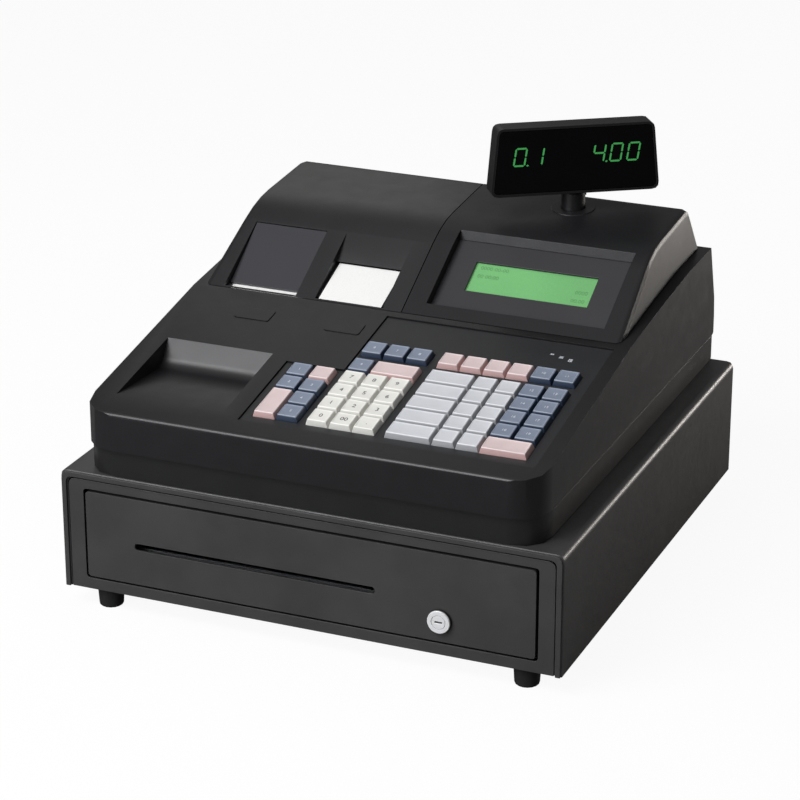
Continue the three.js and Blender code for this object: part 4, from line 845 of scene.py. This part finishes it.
class REGISTER_OT_housing(Dresser):
    """Dress the operator display's housing, bezel and screen"""

    bl_idname = "cash_register.housing"
    bl_label = "Operator display"

    def make(self, values):
        softened("display_housing", values.case.steel_edge, "housing_plastic", 3)
        softened("lcd_bezel", values.case.fine_edge, "lcd_frame")
        dress("screen", "lcd_screen")
        self.lines(values.display)

    def lines(self, display):
        """Lines of characters on the screen, a hair above it."""
        place = slope_place()
        corners = [place.inverted() @ vert.co for vert in NODES["lcd_screen"].data.vertices]
        low = Vector([min(corner[i] for corner in corners) for i in range(3)])
        high = Vector([max(corner[i] for corner in corners) for i in range(3)])
        top = high.z + display.lcd_lift
        edge, step = display.lcd_margin, display.lcd_spacing
        rows = [
            ("0000 00-00", (low.x + edge, high.y - edge), "LEFT"),
            ("00 00:00", (low.x + edge, high.y - edge - step), "LEFT"),
            ("0000", (high.x - edge, low.y + 2 * step), "RIGHT"),
            ("00.00", (high.x - edge, low.y + step), "RIGHT"),
        ]
        for number, (words, at, align) in enumerate(rows):
            name = f"screen_line_{number + 1}"
            spot = place @ Matrix.Translation((*at, top))
            mesh = lettering(name, words, display.lcd_line, spot, display.lcd_ink, align)
            keep(name, mesh, "screen_ink", BODY_OF["lcd_screen"], slot="lcd_glass")


class REGISTER_OT_printer(Dresser):
    """Dress the printer's cover, window, paper and works"""

    bl_idname = "cash_register.printer"
    bl_label = "Printer"

    def make(self, values):
        softened("printer_cover", values.case.case_edge, "cover_plastic", 3)
        softened("journal_window", values.case.fine_edge, "window")
        dress("paper", "receipt_paper", "journal_paper", "receipt_roll", "journal_roll")
        dress("bare_steel", "printer_frame")
        dress("rubber", "receipt_platen", "journal_platen")
        dress("till_plastic", "take_up_spool")


class REGISTER_OT_customer_display(Dresser):
    """Dress the customer display and light its digits"""

    bl_idname = "cash_register.customer_display"
    bl_label = "Customer display"

    # Shares of the stroke: half of the gap between two segments, a dot's length, and the thickness.
    GAP = 0.35
    DOT = 1.8
    THICKNESS = 0.125
    SEGMENTS = {
        "0": "abcdef", "1": "bc", "2": "abged", "3": "abgcd", "4": "fgbc", "5": "afgcd",
        "6": "afgecd", "7": "abc", "8": "abcdefg", "9": "abcdfg",
    }

    def make(self, values):
        softened("customer_display", values.case.case_edge, "display_plastic", 3)
        softened("customer_window", values.case.fine_edge, "gloss_black")
        softened("display_pole", values.case.fine_edge, "black_plastic")
        self.display = values.display
        self.number("digits_count", "0.1", self.display.first_digits)
        self.number("digits_amount", "4.00", self.display.second_digits)

    def segment(self, bm, start, end):
        """One glowing bar from start to end, pointed at both ends."""
        stroke = self.display.digit_stroke / 2
        along = (end - start).normalized()
        side = Vector((-along.y, along.x, 0)) * stroke
        gap = along * stroke * self.GAP
        tip = along * stroke
        ring = [
            start + gap, start + gap + tip + side, end - gap - tip + side,
            end - gap, end - gap - tip - side, start + gap + tip - side,
        ]
        bm.faces.new([bm.verts.new(point) for point in ring])

    def number(self, name, text, left):
        display = self.display
        width, height = display.digit_width, display.digit_height
        spots = {
            "a": ((0, 1), (1, 1)), "b": ((1, 1), (1, 0.5)), "c": ((1, 0.5), (1, 0)), "d": ((0, 0), (1, 0)),
            "e": ((0, 0.5), (0, 0)), "f": ((0, 1), (0, 0.5)), "g": ((0, 0.5), (1, 0.5)),
        }
        bm = bmesh.new()
        column = 0
        for sign in text:
            start = left + column * display.digit_pitch
            if sign == ".":
                dot = start - display.digit_pitch + width + display.digit_stroke
                end = dot + display.digit_stroke * self.DOT
                self.segment(bm, Vector((dot, 0, 0)), Vector((end, 0, 0)))
                continue
            for key in self.SEGMENTS[sign]:
                ends = [Vector((start + x * width, y * height, 0)) for x, y in spots[key]]
                self.segment(bm, *ends)
            column += 1
        for vert in bm.verts:
            vert.co.x += vert.co.y * display.digit_slant
        extruded = bmesh.ops.extrude_face_region(bm, geom=bm.faces[:])["geom"]
        verts = [item for item in extruded if isinstance(item, bmesh.types.BMVert)]
        bmesh.ops.translate(bm, vec=(0, 0, display.digit_stroke * self.THICKNESS), verts=verts)
        # The number is drawn flat, then stood up on the window's face.
        stand = Matrix.Translation((display.offset, -display.face, display.digit_level - height / 2))
        place = display_place() @ stand @ Matrix.Rotation(math.radians(90), 4, "X")
        keep(name, mesh_of(bm, name, place), "digits", BODY_OF["customer_window"], slot="lcd_glass")


class REGISTER_OT_stage(Dresser):
    """Set up the camera, the floor and the light"""

    bl_idname = "cash_register.stage"
    bl_label = "Stage"

    def make(self, values):
        self.camera(values.stage)
        self.floor(values.stage)
        self.lamps(values.stage)

    def camera(self, stage):
        data = bpy.data.cameras.new("camera")
        data.lens = stage.lens
        data.sensor_width = 36
        data.clip_end = 100
        camera = linked("camera", data)
        camera.location = stage.camera
        camera.rotation_euler = (math.radians(90) - stage.elevation, 0, stage.azimuth)
        bpy.context.scene.camera = camera

    def floor(self, stage):
        bm = bmesh.new()
        bmesh.ops.create_grid(bm, x_segments=1, y_segments=1, size=stage.floor_size / 2)
        mesh = plain_mesh(bm, "floor")
        floor = linked("floor", mesh)
        mesh.materials.append(self.floor_finish(stage.floor_white))

    def floor_finish(self, white):
        """A pale floor that fades into white where it is seen, and lights the object softly."""
        paint = Paint("floor", roughness=0.9, specular_ior_level=0.1)
        paint.set(base_color=paint.mottled(paint.noise(0.7), (0.9, 0.9, 0.9), 0.99, 1.01))
        seen = paint.node("ShaderNodeLightPath", output="Is Camera Ray")
        glow = paint.node("ShaderNodeEmission")
        faded = paint.node("ShaderNodeMixShader", None, (white, paint.shader, glow))
        plain = paint.node("ShaderNodeBsdfDiffuse", None, {"Color": FLOOR_LIGHT})
        chosen = paint.node("ShaderNodeMixShader", None, (seen, plain, faded))
        paint.plug(paint.output.node.inputs["Surface"], chosen)
        return paint.material

    def lamps(self, stage):
        world = bpy.data.worlds.new("studio")
        nodes = Nodes(world)
        seen = nodes.node("ShaderNodeLightPath", output="Is Camera Ray")
        lit = nodes.node("ShaderNodeBackground", None, {"Color": WHITE, "Strength": stage.world_light})
        shown = nodes.node("ShaderNodeBackground", None, {"Color": WHITE})
        chosen = nodes.node("ShaderNodeMixShader", None, (seen, lit, shown))
        nodes.node("ShaderNodeOutputWorld", None, {"Surface": chosen})
        bpy.context.scene.world = world
        for name, (place, spread, tone) in LAMPS.items():
            lamp = self.lamp(f"{name}_lamp", getattr(stage, f"{name}_light"), spread, tone)
            lamp.location = place
            aim = Vector((0, 0, stage.lamp_aim)) - Vector(place)
            lamp.rotation_euler = aim.to_track_quat("-Z", "Y").to_euler()

    def lamp(self, name, power, spread, tone):
        data = bpy.data.lights.new(name, "AREA")
        data.shape = "RECTANGLE"
        data.color = tone
        data.energy = power
        data.size, data.size_y = spread
        return linked(name, data)


class REGISTER_PT_panel(bpy.types.Panel):
    """Lists the steps that dress the register"""

    bl_label = "Cash register"
    bl_idname = "REGISTER_PT_panel"
    bl_space_type = "VIEW_3D"
    bl_region_type = "UI"
    bl_category = "Register"

    def draw(self, context):
        for step in STEPS:
            self.layout.operator(step.bl_idname)


STEPS = (
    REGISTER_OT_cabinet,
    REGISTER_OT_drawer,
    REGISTER_OT_case,
    REGISTER_OT_keys,
    REGISTER_OT_housing,
    REGISTER_OT_printer,
    REGISTER_OT_customer_display,
    REGISTER_OT_stage,
)
CLASSES = (
    RegisterCaseSizes,
    RegisterKeySizes,
    RegisterDisplaySizes,
    RegisterFinishes,
    RegisterStage,
    RegisterSettings,
    *STEPS,
    REGISTER_PT_panel,
)


def register():
    for kind in CLASSES:
        bpy.utils.register_class(kind)
    bpy.types.Scene.cash_register = PointerProperty(type=RegisterSettings)


def unregister():
    del bpy.types.Scene.cash_register
    for kind in reversed(CLASSES):
        bpy.utils.unregister_class(kind)


def corners(box):
    return [list(corner) for corner in box]


def main():
    register()
    bpy.context.scene.view_settings.view_transform = "Standard"
    for step in STEPS:
        group, name = step.bl_idname.split(".")
        getattr(getattr(bpy.ops, group), name)()


if __name__ == "__main__":
    main()
